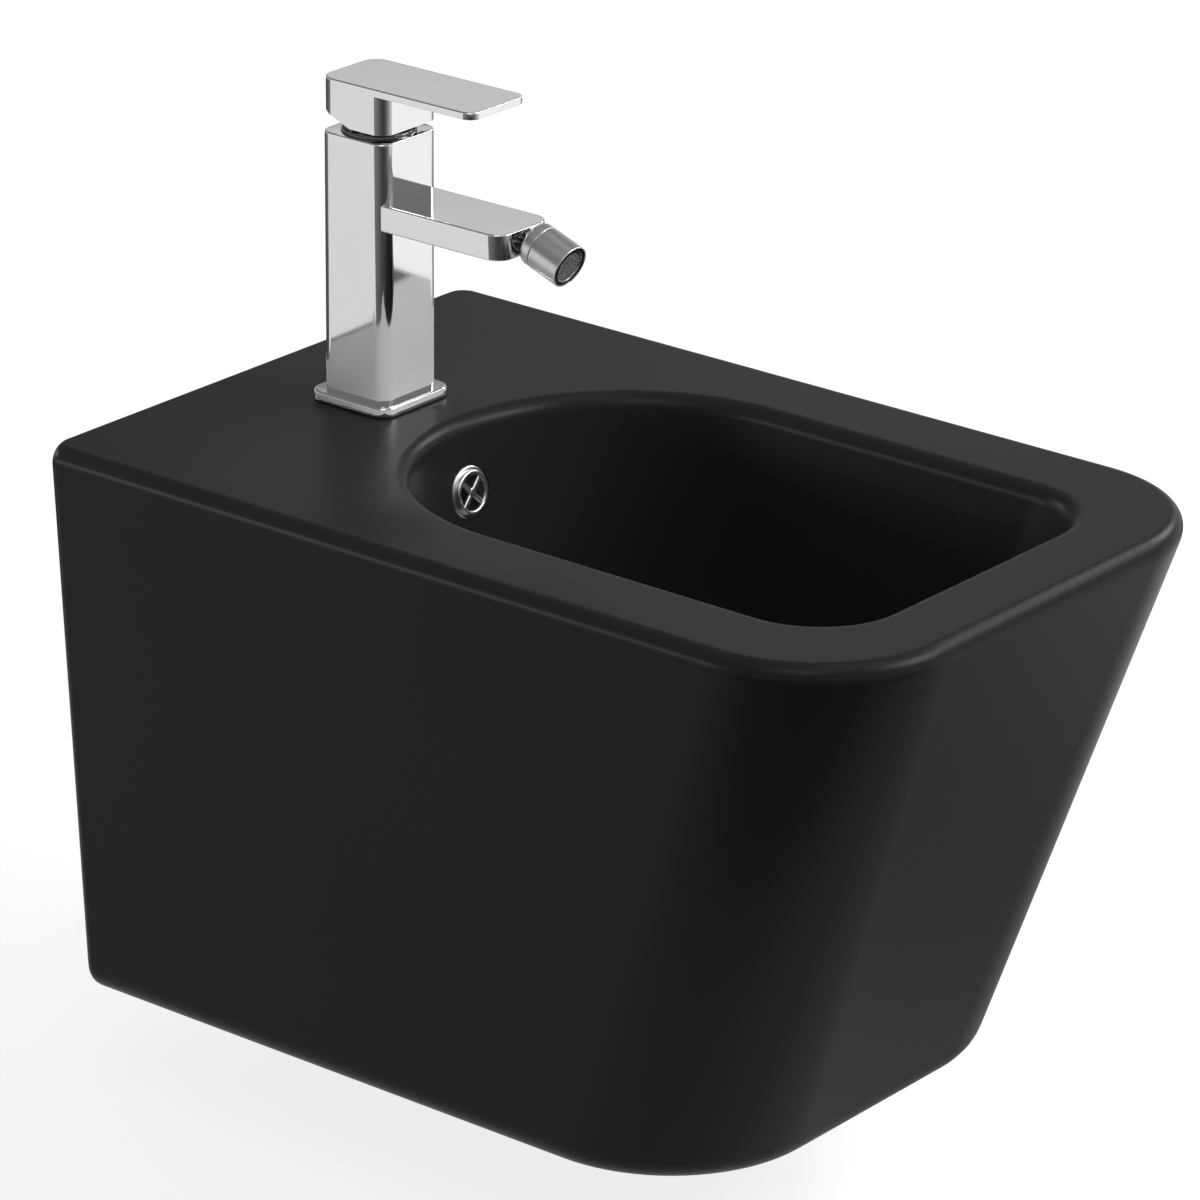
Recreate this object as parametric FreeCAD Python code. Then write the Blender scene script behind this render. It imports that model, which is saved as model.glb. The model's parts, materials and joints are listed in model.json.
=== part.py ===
"""Wall-hung bidet: ceramic body, single-lever tap with swivel aerator, pop-up waste, overflow.

Millimetres. The origin lies midway between the two wall bolts, on the wall plane.
+Z is up, +X is to the right seen from the front, and the front faces -Y.
"""
import FreeCAD, Part
import math
import os
from FreeCAD import Vector

# General clearances
FIT = 0.05             # running and push fits, on the radius
CLEAR = 0.3            # room between pieces that pass each other

# Wall fixing
BOLT_SPACING = 180.0
BOLT_TO_DECK = 85.0
BUSH_BORE_R = 6.5
BUSH_WALL = 2.5
BUSH_FLANGE_R = 15.0
BUSH_FLANGE_T = 3.0
BOLT_BOSS_R = 24.0
BOLT_BOSS_T = 30.0

# Ceramic body
BODY_WIDTH = 350.0
BODY_LENGTH = 535.0
BODY_HEIGHT = 325.0
SIDE_LEAN = 20.0       # each side runs in by this much at the foot
FRONT_LEAN = 108.0     # the front runs back by this much at the foot
TOP_CORNER_R = 85.0
FOOT_CORNER_R = 92.0
TOP_EDGE_R = 12.0
FOOT_EDGE_R = 17.0
WALL = 10.0
REAR_WALL = 12.0
DECK_T = 14.0
FOOT_LIP_T = 22.0
FOOT_LIP_W = 34.0
PIPE_OPENING_WIDTH = 150.0
PIPE_OPENING_HEIGHT = 130.0
PIPE_OPENING_DROP = 55.0   # top of the opening below the bolts
PIPE_OPENING_R = 18.0

# Bowl
REAR_DECK = 141.5      # wall plane to the bowl's back wall, at the deck
SIDE_RIM = 57.5
FRONT_RIM = 51.5
BOWL_CORNER_R = 46.5
BOWL_DEPTH = 150.0
BOWL_SIDE_LEAN = 19.5
BOWL_BACK_LEAN = 21.5
BOWL_FRONT_LEAN = 58.0
BOWL_FLOOR_R = 50.0
RIM_R = 12.0
FLOOR_T = 12.0

# Overflow
OVERFLOW_DROP = 40.0   # deck to the overflow's centre
OVERFLOW_HOLE_R = 11.5
OVERFLOW_FLANGE_R = 15.0
OVERFLOW_FLANGE_T = 2.4
OVERFLOW_SLEEVE_WALL = 1.2
OVERFLOW_SEAT_DEPTH = 1.4
GUARD_LAP = 0.5        # reach of the guard's rim over the bore
GUARD_RIM_W = 2.9
GUARD_H = 2.2
GUARD_ARM_W = 2.8
GUARD_ARM_T = 1.6
GUARD_HUB_R = 2.8
GUARD_ARMS = 4
GUARD_TURN = 45.0      # direction of the first arm, in degrees
DUCT_WIDTH = 30.0
DUCT_GAP = 10.0
DUCT_WALL = 7.0

# Waste
DRAIN_TO_WALL = 255.0
DRAIN_HOLE_R = 23.0
DRAIN_DIP = 8.0
DRAIN_DIP_R = 68.0
DRAIN_BOSS_R = 42.0
DRAIN_GRIP = 30.0      # ceramic between the two waste gaskets
WASTE_FLANGE_R = 32.0
WASTE_FLANGE_T = 3.0
WASTE_THREAD_R = 20.95
WASTE_THREAD_SPARE = 3.0   # thread left below the back nut
WASTE_TAIL_R = 20.0
WASTE_BORE_R = 17.5
WASTE_LENGTH = 88.0
WASTE_WINDOW_W = 14.0
WASTE_WINDOW_H = 14.0
FLANGE_GASKET_T = 2.0
LOWER_GASKET_T = 5.0
LOWER_GASKET_R = 31.0
WASTE_WASHER_T = 2.0
BACK_NUT_T = 9.0
BACK_NUT_R = 28.0
PLUG_R = 29.0
PLUG_EDGE_T = 4.0
PLUG_CROWN = 2.4
PLUG_TRAVEL = 8.0
PLUG_SEAL_R = 24.5
PLUG_SEAL_W = 3.0
PLUG_SEAL_H = 3.0
PLUG_SEAL_PROUD = 1.0
PLUG_BOSS_R = 8.0
PLUG_BOSS_H = 6.3
PLUG_STEM_R = 3.0
GUIDE_DROP = 26.0
GUIDE_T = 6.0
GUIDE_HUB_R = 6.5
GUIDE_ARM_W = 3.0
GUIDE_ARMS = 3
STOP_R = 5.0
STOP_T = 4.0
SPRING_R = 5.2
SPRING_WIRE_R = 0.6
SPRING_TURNS = 6

# Tap column, base and spout; heights are above the deck
TAP_TO_WALL = 84.0
TAP_HOLE_R = 17.5
COLUMN_SIDE = 46.0
COLUMN_CORNER_R = 8.0
COLUMN_TOP = 152.5
CORE_WALL = 6.0
CORE_CORNER_R = 4.0
CORE_TOP = 82.0
EDGE_R = 0.8
BASE_SIDE = 56.2
BASE_CORNER_R = 9.2
BASE_T = 5.2
BASE_BEVEL = 1.5
BASE_GASKET_T = 1.0
BASE_GASKET_INSET = 1.2
SPOUT_WIDTH = 43.0
SPOUT_T = 14.7
SPOUT_DROP = 33.8
SPOUT_REACH = 102.5
SPOUT_CORNER_R = 10.0
WATERWAY_R = 4.2
INLET_X = 8.0
INLET_Y = -4.0
INLET_R = 4.5
INLET_DEPTH = 12.0

# Tap fixing under the deck
SHANK_BLOCK_H = 12.0
SHANK_R = 16.5
SHANK_LENGTH = 10.0
HOSE_HOLE_R = 6.0
STUD_Y = 9.5
STUD_R = 4.0
STUD_LENGTH = 76.0
STUD_GRIP = 22.0
HORSESHOE_R = 22.0
HORSESHOE_SLOT = 30.0
HORSESHOE_WASHER_T = 2.5
HORSESHOE_PLATE_T = 3.0
STUD_NUT_R = 7.0
STUD_NUT_H = 14.0

# Mixing cartridge
CHAMBER_DEPTH = 34.0
CARTRIDGE_R = 17.3
CARTRIDGE_BASE_T = 5.0
PORT_X = 7.6
PORT_Y = -3.6
PORT_R = 2.0
OUTLET_Y = 4.5
OUTLET_R = 3.0
SEAL_W = 1.4
SEAL_T = 1.0
DISC_T = 4.0
FIXED_DISC_R = 14.9
MOVING_DISC_R = 12.2
DISC_OFFSET = 2.15     # closed position of the moving disc, behind the axis
MIX_POCKET_R = 7.5
MIX_POCKET_T = 2.0
CARRIER_T = 4.5
CARRIER_POCKET_T = 2.5
HOUSING_NECK_R = 14.2
HOUSING_NECK_H = 11.0
CARRIAGE_R = 12.5
CARRIAGE_FLANGE_R = 14.2
CARRIAGE_FLANGE_T = 1.7
CARRIAGE_H = 19.2
PIVOT_RISE = 7.2       # carriage foot to the lever pivot
PIN_R = 1.5
STEM_SIDE = 8.0
STEM_HUB_R = 4.0
STEM_ARM_W = 6.0
STEM_ARM_T = 2.4
STEM_TIP_R = 1.8
STEM_TOP_RISE = 32.5   # lever pivot to the stem's top
LIFT_DEG = 25.0
NUT_R = 19.0
NUT_T = 8.0
COVER_R = 20.5
COVER_H = 3.8
COVER_LIP = 1.0

# Lever
LEVER_GAP = 4.8
LEVER_BLOCK_H = 21.3
LEVER_PLATE_T = 4.2
LEVER_REACH = 84.0
LEVER_BACK_R = 10.0
LEVER_FRONT_R = 7.0
LEVER_WALL = 4.0
LEVER_ROOF = 2.0
LEVER_RELIEF_L = 22.0  # slope under the block's back, which lets the lever lift
LEVER_RELIEF_H = 8.4
SOCKET_BOSS_R = 8.5
SOCKET_DEPTH = 13.5
SCREW_R = 2.4
SCREW_LENGTH = 7.0
SCREW_DROP = 10.0      # lever top to the set screw
PLUG_BUTTON_R = 3.2
PLUG_BUTTON_T = 4.6

# Swivel aerator; distances run along its own axis from the ball's centre
BALL_R = 8.5
BALL_REACH = 7.8       # spout end to the ball's centre
BALL_BORE_R = 3.2
BALL_NECK_R = 4.3
NECK_RIB_R = 6.3
NECK_RIB_T = 0.45
STEM_THREAD_R = 6.5
STEM_THREAD_L = 9.0
STEM_SEAL_T = 1.5
TILT_DEG = 20.0
COLLAR_R = 12.3
COLLAR_BACK = 3.2
COLLAR_FRONT = 3.8
COLLAR_CHAMFER = 2.0
COLLAR_MOUTH_R = 8.1
LINER_T = 1.2
LINER_FROM_DEG = 27.0
LINER_TO_DEG = 50.0
SHELL_L = 19.7
SHELL_BORE_R = 10.1
SHELL_SPIGOT_R = 11.2
SHELL_SPIGOT_L = 3.0
MOUTH_RING_R = 11.5
MOUTH_RING_W = 1.6
MOUTH_RING_T = 2.8
CORE_L = 12.0
CORE_RIM = 0.7
CORE_GRID_T = 4.0
CORE_HOLE_R = 1.1
CORE_HOLES = 6
MESH_T = 0.5
MESH_INSET = 0.9


def outline(corners, z):
    """Closed wire of straight runs and round corners; corners are (x, y, radius) in order."""
    edges = []
    last_end = None
    first_start = None
    count = len(corners)
    for i, (x, y, r) in enumerate(corners):
        here = Vector(x, y, z)
        before = Vector(corners[i - 1][0], corners[i - 1][1], z)
        after = Vector(corners[(i + 1) % count][0], corners[(i + 1) % count][1], z)
        to_before = (before - here).normalize()
        to_after = (after - here).normalize()
        half_angle = to_before.getAngle(to_after) / 2
        run = r / math.tan(half_angle)
        start = here + to_before * run
        end = here + to_after * run
        if last_end is not None and start.distanceToPoint(last_end) > 1e-6:
            edges.append(Part.makeLine(last_end, start))
        if r > 0:
            inward = (to_before + to_after).normalize()
            middle = here + inward * (r / math.sin(half_angle) - r)
            edges.append(Part.Arc(start, middle, end).toShape())
        first_start = first_start or start
        last_end = end
    if last_end.distanceToPoint(first_start) > 1e-6:
        edges.append(Part.makeLine(last_end, first_start))
    return Part.Wire(edges)


def rectangle(half_x, front, back, front_r, back_r):
    """Corners of a rectangle from y = front to y = back, clockwise from the back right."""
    return [(half_x, back, back_r), (half_x, front, front_r),
            (-half_x, front, front_r), (-half_x, back, back_r)]


def square(side, r):
    return rectangle(side / 2, -side / 2, side / 2, r, r)


def prism(corners, z0, z1):
    return Part.Face(outline(corners, z0)).extrude(Vector(0, 0, z1 - z0))


def loft(lower, z0, upper, z1):
    return Part.makeLoft([outline(lower, z0), outline(upper, z1)], True, True)


def block(x0, x1, y0, y1, z0, z1):
    return Part.makeBox(x1 - x0, y1 - y0, z1 - z0, Vector(x0, y0, z0))


def rod(r, z0, z1, x=0.0, y=0.0):
    return Part.makeCylinder(r, z1 - z0, Vector(x, y, z0))


def rod_x(r, x0, x1, y=0.0, z=0.0):
    return Part.makeCylinder(r, x1 - x0, Vector(x0, y, z), Vector(1, 0, 0))


def rod_y(r, y0, y1, x=0.0, z=0.0):
    return Part.makeCylinder(r, y1 - y0, Vector(x, y0, z), Vector(0, 1, 0))


def ring(outer_r, inner_r, z0, z1, x=0.0, y=0.0):
    return rod(outer_r, z0, z1, x, y).cut(rod(inner_r, z0, z1, x, y))


def turned(profile):
    """Solid of revolution about Z from (radius, z) points."""
    points = [Vector(r, 0, z) for r, z in profile]
    face = Part.Face(Part.makePolygon(points + points[:1]))
    return face.revolve(Vector(0, 0, 0), Vector(0, 0, 1), 360)


def side_profile(points, half_x):
    """Solid of constant width in X from (y, z) points."""
    vectors = [Vector(-half_x, y, z) for y, z in points]
    face = Part.Face(Part.makePolygon(vectors + vectors[:1]))
    return face.extrude(Vector(2 * half_x, 0, 0))


def hexagon(across_corners_r, z0, z1):
    turns = [math.radians(60 * k) for k in range(6)]
    corners = [(across_corners_r * math.cos(t), across_corners_r * math.sin(t), 0) for t in turns]
    return prism(corners, z0, z1)


def level_edges(shape, z):
    """Edges that lie wholly at height z."""
    return [e for e in shape.Edges if abs(e.BoundBox.ZMin - z) < 1e-3 and abs(e.BoundBox.ZMax - z) < 1e-3]


def join(first, *others):
    return first.multiFuse(list(others)).removeSplitter()


def save(name, shape, at=None, turn_x=0.0):
    """Write one node, turned about X and moved to its place."""
    placed = shape.copy()
    if turn_x:
        placed.rotate(Vector(0, 0, 0), Vector(1, 0, 0), turn_x)
    if at is not None:
        placed.translate(at)
    placed.exportStep("parts/%s.step" % name)


# Places of the sub-assemblies
DECK_Z = BOLT_TO_DECK
FOOT_Z = DECK_Z - BODY_HEIGHT
FLOOR_Z = DECK_Z - BOWL_DEPTH
TAP_AT = Vector(0, -TAP_TO_WALL, DECK_Z)
DRAIN_AT = Vector(0, -DRAIN_TO_WALL, FLOOR_Z - DRAIN_DIP)
FLANGE_SEAT = -(WASTE_FLANGE_T + FLANGE_GASKET_T)
GRIP_FOOT = FLANGE_SEAT - DRAIN_GRIP

# The overflow sits square to the bowl's leaning back wall
BACK_LEAN_DEG = math.degrees(math.atan2(BOWL_BACK_LEAN, BOWL_DEPTH))
OVERFLOW_AT = Vector(0, -(REAR_DECK + BOWL_BACK_LEAN * OVERFLOW_DROP / BOWL_DEPTH), DECK_Z - OVERFLOW_DROP)
OVERFLOW_TURN = 90.0 - BACK_LEAN_DEG

# Heights of the tap above the deck
BASE_TOP = BASE_GASKET_T + BASE_T
SPOUT_TOP = COLUMN_TOP - SPOUT_DROP
SPOUT_MID = SPOUT_TOP - SPOUT_T / 2
SEAT = COLUMN_TOP - CHAMBER_DEPTH
CART_BASE_TOP = SEAT + CARTRIDGE_BASE_T
FIXED_TOP = CART_BASE_TOP + DISC_T
MOVING_TOP = FIXED_TOP + DISC_T
CARRIER_TOP = MOVING_TOP + CARRIER_T
CARRIAGE_FOOT = CARRIER_TOP + CLEAR
CARRIAGE_TOP = CARRIAGE_FOOT + CARRIAGE_H
PIVOT = CARRIAGE_FOOT + PIVOT_RISE
STEM_TIP = MOVING_TOP + STEM_TIP_R + CLEAR / 2
LEVER_FOOT = COLUMN_TOP + LEVER_GAP
LEVER_UNDER = LEVER_FOOT + LEVER_BLOCK_H
LEVER_TOP = LEVER_UNDER + LEVER_PLATE_T
BALL_AT = TAP_AT + Vector(0, -(SPOUT_REACH + BALL_REACH), SPOUT_MID)
AERATOR_TURN = 90.0 + TILT_DEG


def skirt(z, inset):
    """Corners of the leaning outside at height z, moved in by inset."""
    share = (DECK_Z - z) / BODY_HEIGHT
    half = BODY_WIDTH / 2 - SIDE_LEAN * share - inset
    front = BODY_LENGTH - FRONT_LEAN * share - inset
    corner = TOP_CORNER_R + (FOOT_CORNER_R - TOP_CORNER_R) * share - inset
    return half, front, corner


def skirt_corners(z, inset, back):
    half, front, corner = skirt(z, inset)
    return rectangle(half, -front, -back, corner, 0)


def bowl_corners(depth, grow):
    """D outline of the bowl at a depth, grown outwards; the back is a half circle."""
    share = depth / BOWL_DEPTH
    half = BODY_WIDTH / 2 - SIDE_RIM - BOWL_SIDE_LEAN * share + grow
    back = -(REAR_DECK + BOWL_BACK_LEAN * share) + grow
    front = -(BODY_LENGTH - FRONT_RIM - BOWL_FRONT_LEAN * share) - grow
    return rectangle(half, front, back, BOWL_CORNER_R + grow, half)


def bowl_solid(grow, floor):
    """Bowl shape from the deck down to the floor, with a rounded floor edge."""
    depth = BOWL_DEPTH + floor
    shape = loft(bowl_corners(depth, grow), DECK_Z - depth, bowl_corners(0, grow), DECK_Z)
    return shape.makeFillet(BOWL_FLOOR_R + grow, level_edges(shape, DECK_Z - depth))


def duct_profile(grow):
    """Side view of the overflow duct: down behind the bowl, then under its floor to the drain."""
    lean = BOWL_BACK_LEAN / BOWL_DEPTH
    near = REAR_DECK - WALL
    top = DECK_Z - OVERFLOW_DROP + OVERFLOW_HOLE_R + grow
    foot = FLOOR_Z - DRAIN_DIP + FLANGE_SEAT - WASTE_WINDOW_H - DUCT_WALL - grow
    roof = FLOOR_Z - DRAIN_DIP + FLANGE_SEAT - DUCT_WALL + grow
    wall_at = [-(near + lean * (DECK_Z - z)) for z in (top, roof, foot)]
    back_at = [y + DUCT_GAP + grow for y in wall_at]
    reach = -(near + WALL + lean * BOWL_DEPTH)
    drain_y = -(DRAIN_TO_WALL - DRAIN_HOLE_R + WALL / 2 - grow)
    return [(back_at[0], top), (back_at[2], foot), (drain_y, foot), (drain_y, roof),
            (reach, roof), (wall_at[0] - WALL * (grow > 0), top)]


def make_ceramic():
    # The outside runs past the wall plane, and is cut flat there
    outer = loft(skirt_corners(FOOT_Z, 0, -CLEAR), FOOT_Z, skirt_corners(DECK_Z, 0, -CLEAR), DECK_Z)
    for z, r in ((DECK_Z, TOP_EDGE_R), (FOOT_Z, FOOT_EDGE_R)):
        edges = [e for e in level_edges(outer, z) if e.BoundBox.YMin < 0]
        outer = outer.makeFillet(r, edges)
    outer = outer.cut(block(-BODY_WIDTH, BODY_WIDTH, 0, WALL, FOOT_Z, DECK_Z))
    basin = outer.cut(bowl_solid(0, 0))
    rim = [e for e in level_edges(basin, DECK_Z)
           if e.BoundBox.XMax < BODY_WIDTH / 2 - TOP_EDGE_R - 1e-3 and e.BoundBox.YMax < -TOP_EDGE_R
           and e.BoundBox.XMin > -(BODY_WIDTH / 2 - TOP_EDGE_R) + 1e-3
           and e.BoundBox.YMin > -(BODY_LENGTH - TOP_EDGE_R) + 1e-3]
    basin = basin.makeFillet(RIM_R, rim)

    # Hollow under the deck, round the bowl, its drain boss, the bolt bosses and the duct
    roof_z = DECK_Z - DECK_T
    lip_z = FOOT_Z + FOOT_LIP_T
    hollow = loft(skirt_corners(lip_z, WALL, REAR_WALL), lip_z,
                  skirt_corners(roof_z, WALL, REAR_WALL), roof_z)
    drain_boss = rod(DRAIN_BOSS_R, DRAIN_AT.z + GRIP_FOOT, FLOOR_Z, 0, DRAIN_AT.y)
    hollow = hollow.cut(bowl_solid(WALL, FLOOR_T)).cut(drain_boss)
    hollow = hollow.cut(side_profile(duct_profile(DUCT_WALL), DUCT_WIDTH / 2 + DUCT_WALL))
    for x in (-BOLT_SPACING / 2, BOLT_SPACING / 2):
        hollow = hollow.cut(rod_y(BOLT_BOSS_R, -BOLT_BOSS_T, 0, x))
    body = basin.cut(hollow)

    # Openings: foot, pipes, duct, bolts, tap
    foot_half, foot_front, foot_corner = skirt(FOOT_Z, FOOT_LIP_W)
    foot = rectangle(foot_half, -foot_front, -FOOT_LIP_W, foot_corner, WALL)
    body = body.cut(prism(foot, FOOT_Z - 1, lip_z + 1))
    pipes = rectangle(PIPE_OPENING_WIDTH / 2, 0, PIPE_OPENING_HEIGHT, PIPE_OPENING_R, PIPE_OPENING_R)
    pipes = prism(pipes, 0, REAR_WALL + 2)
    pipes.rotate(Vector(0, 0, 0), Vector(1, 0, 0), 90)
    pipes.translate(Vector(0, 1, -PIPE_OPENING_DROP - PIPE_OPENING_HEIGHT))
    body = body.cut(pipes)
    body = body.cut(side_profile(duct_profile(0), DUCT_WIDTH / 2))
    bush_r = BUSH_BORE_R + BUSH_WALL + FIT
    for x in (-BOLT_SPACING / 2, BOLT_SPACING / 2):
        body = body.cut(rod_y(bush_r, -BOLT_BOSS_T - 1, 1, x))
    body = body.cut(rod(TAP_HOLE_R, roof_z - 1, DECK_Z + 1, 0, TAP_AT.y))

    # Drain: shallow dip to a recess for the flange, then the hole
    dip = Part.makeCone(WASTE_FLANGE_R + 1, DRAIN_DIP_R, DRAIN_DIP, Vector(0, DRAIN_AT.y, DRAIN_AT.z))
    recess = rod(WASTE_FLANGE_R + 1, DRAIN_AT.z + FLANGE_SEAT, DRAIN_AT.z, 0, DRAIN_AT.y)
    hole = rod(DRAIN_HOLE_R, DRAIN_AT.z + GRIP_FOOT - 1, DRAIN_AT.z, 0, DRAIN_AT.y)
    body = body.cut(dip.fuse([recess, hole]))

    # Overflow: flat seat in the round back wall, and the hole into the duct
    seat = rod(OVERFLOW_FLANGE_R + CLEAR, -OVERFLOW_SEAT_DEPTH, WALL)
    hole = rod(OVERFLOW_HOLE_R, -WALL - DUCT_GAP / 2, 0)
    overflow = seat.fuse(hole)
    overflow.rotate(Vector(0, 0, 0), Vector(1, 0, 0), OVERFLOW_TURN)
    overflow.translate(OVERFLOW_AT)
    body = body.cut(overflow)
    save("ceramic_body", body)


def make_bushes():
    inside = -BOLT_BOSS_T
    bushes = []
    for x in (-BOLT_SPACING / 2, BOLT_SPACING / 2):
        sleeve = rod_y(BUSH_BORE_R + BUSH_WALL, inside, 0, x)
        flange = rod_y(BUSH_FLANGE_R, inside - BUSH_FLANGE_T, inside, x)
        bore = rod_y(BUSH_BORE_R, inside - BUSH_FLANGE_T, 0, x)
        bushes.append(join(sleeve, flange).cut(bore))
    save("wall_bushes", Part.makeCompound(bushes))


def make_overflow():
    sleeve_r = OVERFLOW_HOLE_R - FIT
    bore_r = sleeve_r - OVERFLOW_SLEEVE_WALL
    base = -OVERFLOW_SEAT_DEPTH
    flange = ring(OVERFLOW_FLANGE_R, bore_r, base, base + OVERFLOW_FLANGE_T)
    flange = flange.makeFillet(EDGE_R, [e for e in level_edges(flange, base + OVERFLOW_FLANGE_T)
                                        if e.BoundBox.XLength > 2 * bore_r + 1e-3])
    sleeve = ring(sleeve_r, bore_r, base - WALL, base)
    save("overflow_ring", join(flange, sleeve), OVERFLOW_AT, OVERFLOW_TURN)

    foot = base + OVERFLOW_FLANGE_T
    rim_r = bore_r - GUARD_LAP + GUARD_RIM_W
    rim = ring(rim_r, rim_r - GUARD_RIM_W, foot, foot + GUARD_H)
    rim = rim.makeFillet(EDGE_R, level_edges(rim, foot + GUARD_H))
    arms = [rod(GUARD_HUB_R, foot, foot + GUARD_ARM_T)]
    for k in range(GUARD_ARMS):
        arm = block(0, rim_r - GUARD_RIM_W / 2, -GUARD_ARM_W / 2, GUARD_ARM_W / 2, foot, foot + GUARD_ARM_T)
        arm.rotate(Vector(0, 0, 0), Vector(0, 0, 1), GUARD_TURN + 360.0 / GUARD_ARMS * k)
        arms.append(arm)
    save("overflow_grille", join(rim, *arms), OVERFLOW_AT, OVERFLOW_TURN)


def make_waste():
    thread_foot = GRIP_FOOT - LOWER_GASKET_T - WASTE_WASHER_T - BACK_NUT_T - WASTE_THREAD_SPARE
    flange = ring(WASTE_FLANGE_R, WASTE_BORE_R, -WASTE_FLANGE_T, 0)
    thread = ring(WASTE_THREAD_R, WASTE_BORE_R, thread_foot, -WASTE_FLANGE_T)
    tail = ring(WASTE_TAIL_R, WASTE_BORE_R, -WASTE_LENGTH, thread_foot)
    window_top = FLANGE_SEAT - DUCT_WALL
    window = block(-WASTE_WINDOW_W / 2, WASTE_WINDOW_W / 2, -WASTE_THREAD_R, WASTE_THREAD_R,
                   window_top - WASTE_WINDOW_H, window_top)
    save("waste_body", join(flange, thread, tail).cut(window), DRAIN_AT)
    gasket = ring(WASTE_FLANGE_R - 1, WASTE_THREAD_R + FIT, FLANGE_SEAT, -WASTE_FLANGE_T)
    save("waste_flange_gasket", gasket, DRAIN_AT)

    z = GRIP_FOOT
    hole_r = WASTE_THREAD_R + FIT
    gasket_foot = z - LOWER_GASKET_T
    gasket = turned([(hole_r, z), (LOWER_GASKET_R, z), (LOWER_GASKET_R, z - LOWER_GASKET_T / 2),
                     (hole_r + LOWER_GASKET_T, gasket_foot), (hole_r, gasket_foot)])
    save("waste_lower_gasket", gasket, DRAIN_AT)
    z = gasket_foot
    save("waste_washer", ring(BACK_NUT_R, hole_r, z - WASTE_WASHER_T, z), DRAIN_AT)
    z -= WASTE_WASHER_T
    nut = hexagon(BACK_NUT_R, z - BACK_NUT_T, z).cut(rod(hole_r, z - BACK_NUT_T, z))
    save("waste_back_nut", nut, DRAIN_AT)


def spiral(r, wire_r, z0, z1, turns):
    """Closed-end round wire spiral from z0 to z1."""
    rise = z1 - z0 - 2 * wire_r
    path = Part.makeHelix(rise / turns, rise, r)
    path.translate(Vector(0, 0, z0 + wire_r))
    section = Part.Wire(Part.makeCircle(wire_r, Vector(r, 0, z0 + wire_r), Vector(0, 1, 0)))
    return Part.Wire(path).makePipeShell([section], True, True)


def make_plug():
    seal_foot = PLUG_TRAVEL + CLEAR
    under = seal_foot + PLUG_SEAL_PROUD
    edge = under + PLUG_EDGE_T
    boss_foot = under - PLUG_BOSS_H
    seal_in = PLUG_SEAL_R - PLUG_SEAL_W / 2
    seal_out = PLUG_SEAL_R + PLUG_SEAL_W / 2
    rim_r = PLUG_R - EDGE_R
    crown_r = (rim_r ** 2 + PLUG_CROWN ** 2) / (2 * PLUG_CROWN)
    middle = math.asin(rim_r / crown_r) / 2
    top = edge + PLUG_CROWN
    crown = Part.Arc(Vector(rim_r, 0, edge),
                     Vector(crown_r * math.sin(middle), 0, top - crown_r * (1 - math.cos(middle))),
                     Vector(0, 0, top)).toShape()
    corners = [(0, top), (0, boss_foot), (PLUG_BOSS_R, boss_foot), (PLUG_BOSS_R, under),
               (PLUG_R, under), (PLUG_R, edge - EDGE_R), (rim_r, edge)]
    points = [Vector(r, 0, z) for r, z in corners]
    face = Part.Face(Part.Wire([crown] + [Part.makeLine(p, q) for p, q in zip(points[:-1], points[1:])]))
    cap = face.revolve(Vector(0, 0, 0), Vector(0, 0, 1), 360)
    groove = ring(seal_out, seal_in, under, seal_foot + PLUG_SEAL_H)
    socket = rod(PLUG_STEM_R, boss_foot, under)
    save("waste_plug", cap.cut(groove).cut(socket), DRAIN_AT)
    save("plug_seal", ring(seal_out, seal_in, seal_foot, seal_foot + PLUG_SEAL_H), DRAIN_AT)

    guide_foot = -GUIDE_DROP - GUIDE_T
    stem = rod(PLUG_STEM_R, guide_foot - CLEAR - STOP_T, under)
    stop = rod(STOP_R, guide_foot - CLEAR - STOP_T, guide_foot - CLEAR)
    save("plug_stem", join(stem, stop), DRAIN_AT)

    arms = []
    for k in range(GUIDE_ARMS):
        arm = block(0, WASTE_BORE_R + 1, -GUIDE_ARM_W / 2, GUIDE_ARM_W / 2, guide_foot, -GUIDE_DROP)
        arm.rotate(Vector(0, 0, 0), Vector(0, 0, 1), 30 + 360.0 / GUIDE_ARMS * k)
        arms.append(arm.common(rod(WASTE_BORE_R - FIT, guide_foot, -GUIDE_DROP)))
    hub = join(rod(GUIDE_HUB_R, guide_foot, -GUIDE_DROP), *arms)
    save("plug_guide", hub.cut(rod(PLUG_STEM_R + FIT, guide_foot, -GUIDE_DROP)), DRAIN_AT)
    save("plug_spring", spiral(SPRING_R, SPRING_WIRE_R, -GUIDE_DROP, boss_foot, SPRING_TURNS), DRAIN_AT)


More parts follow.
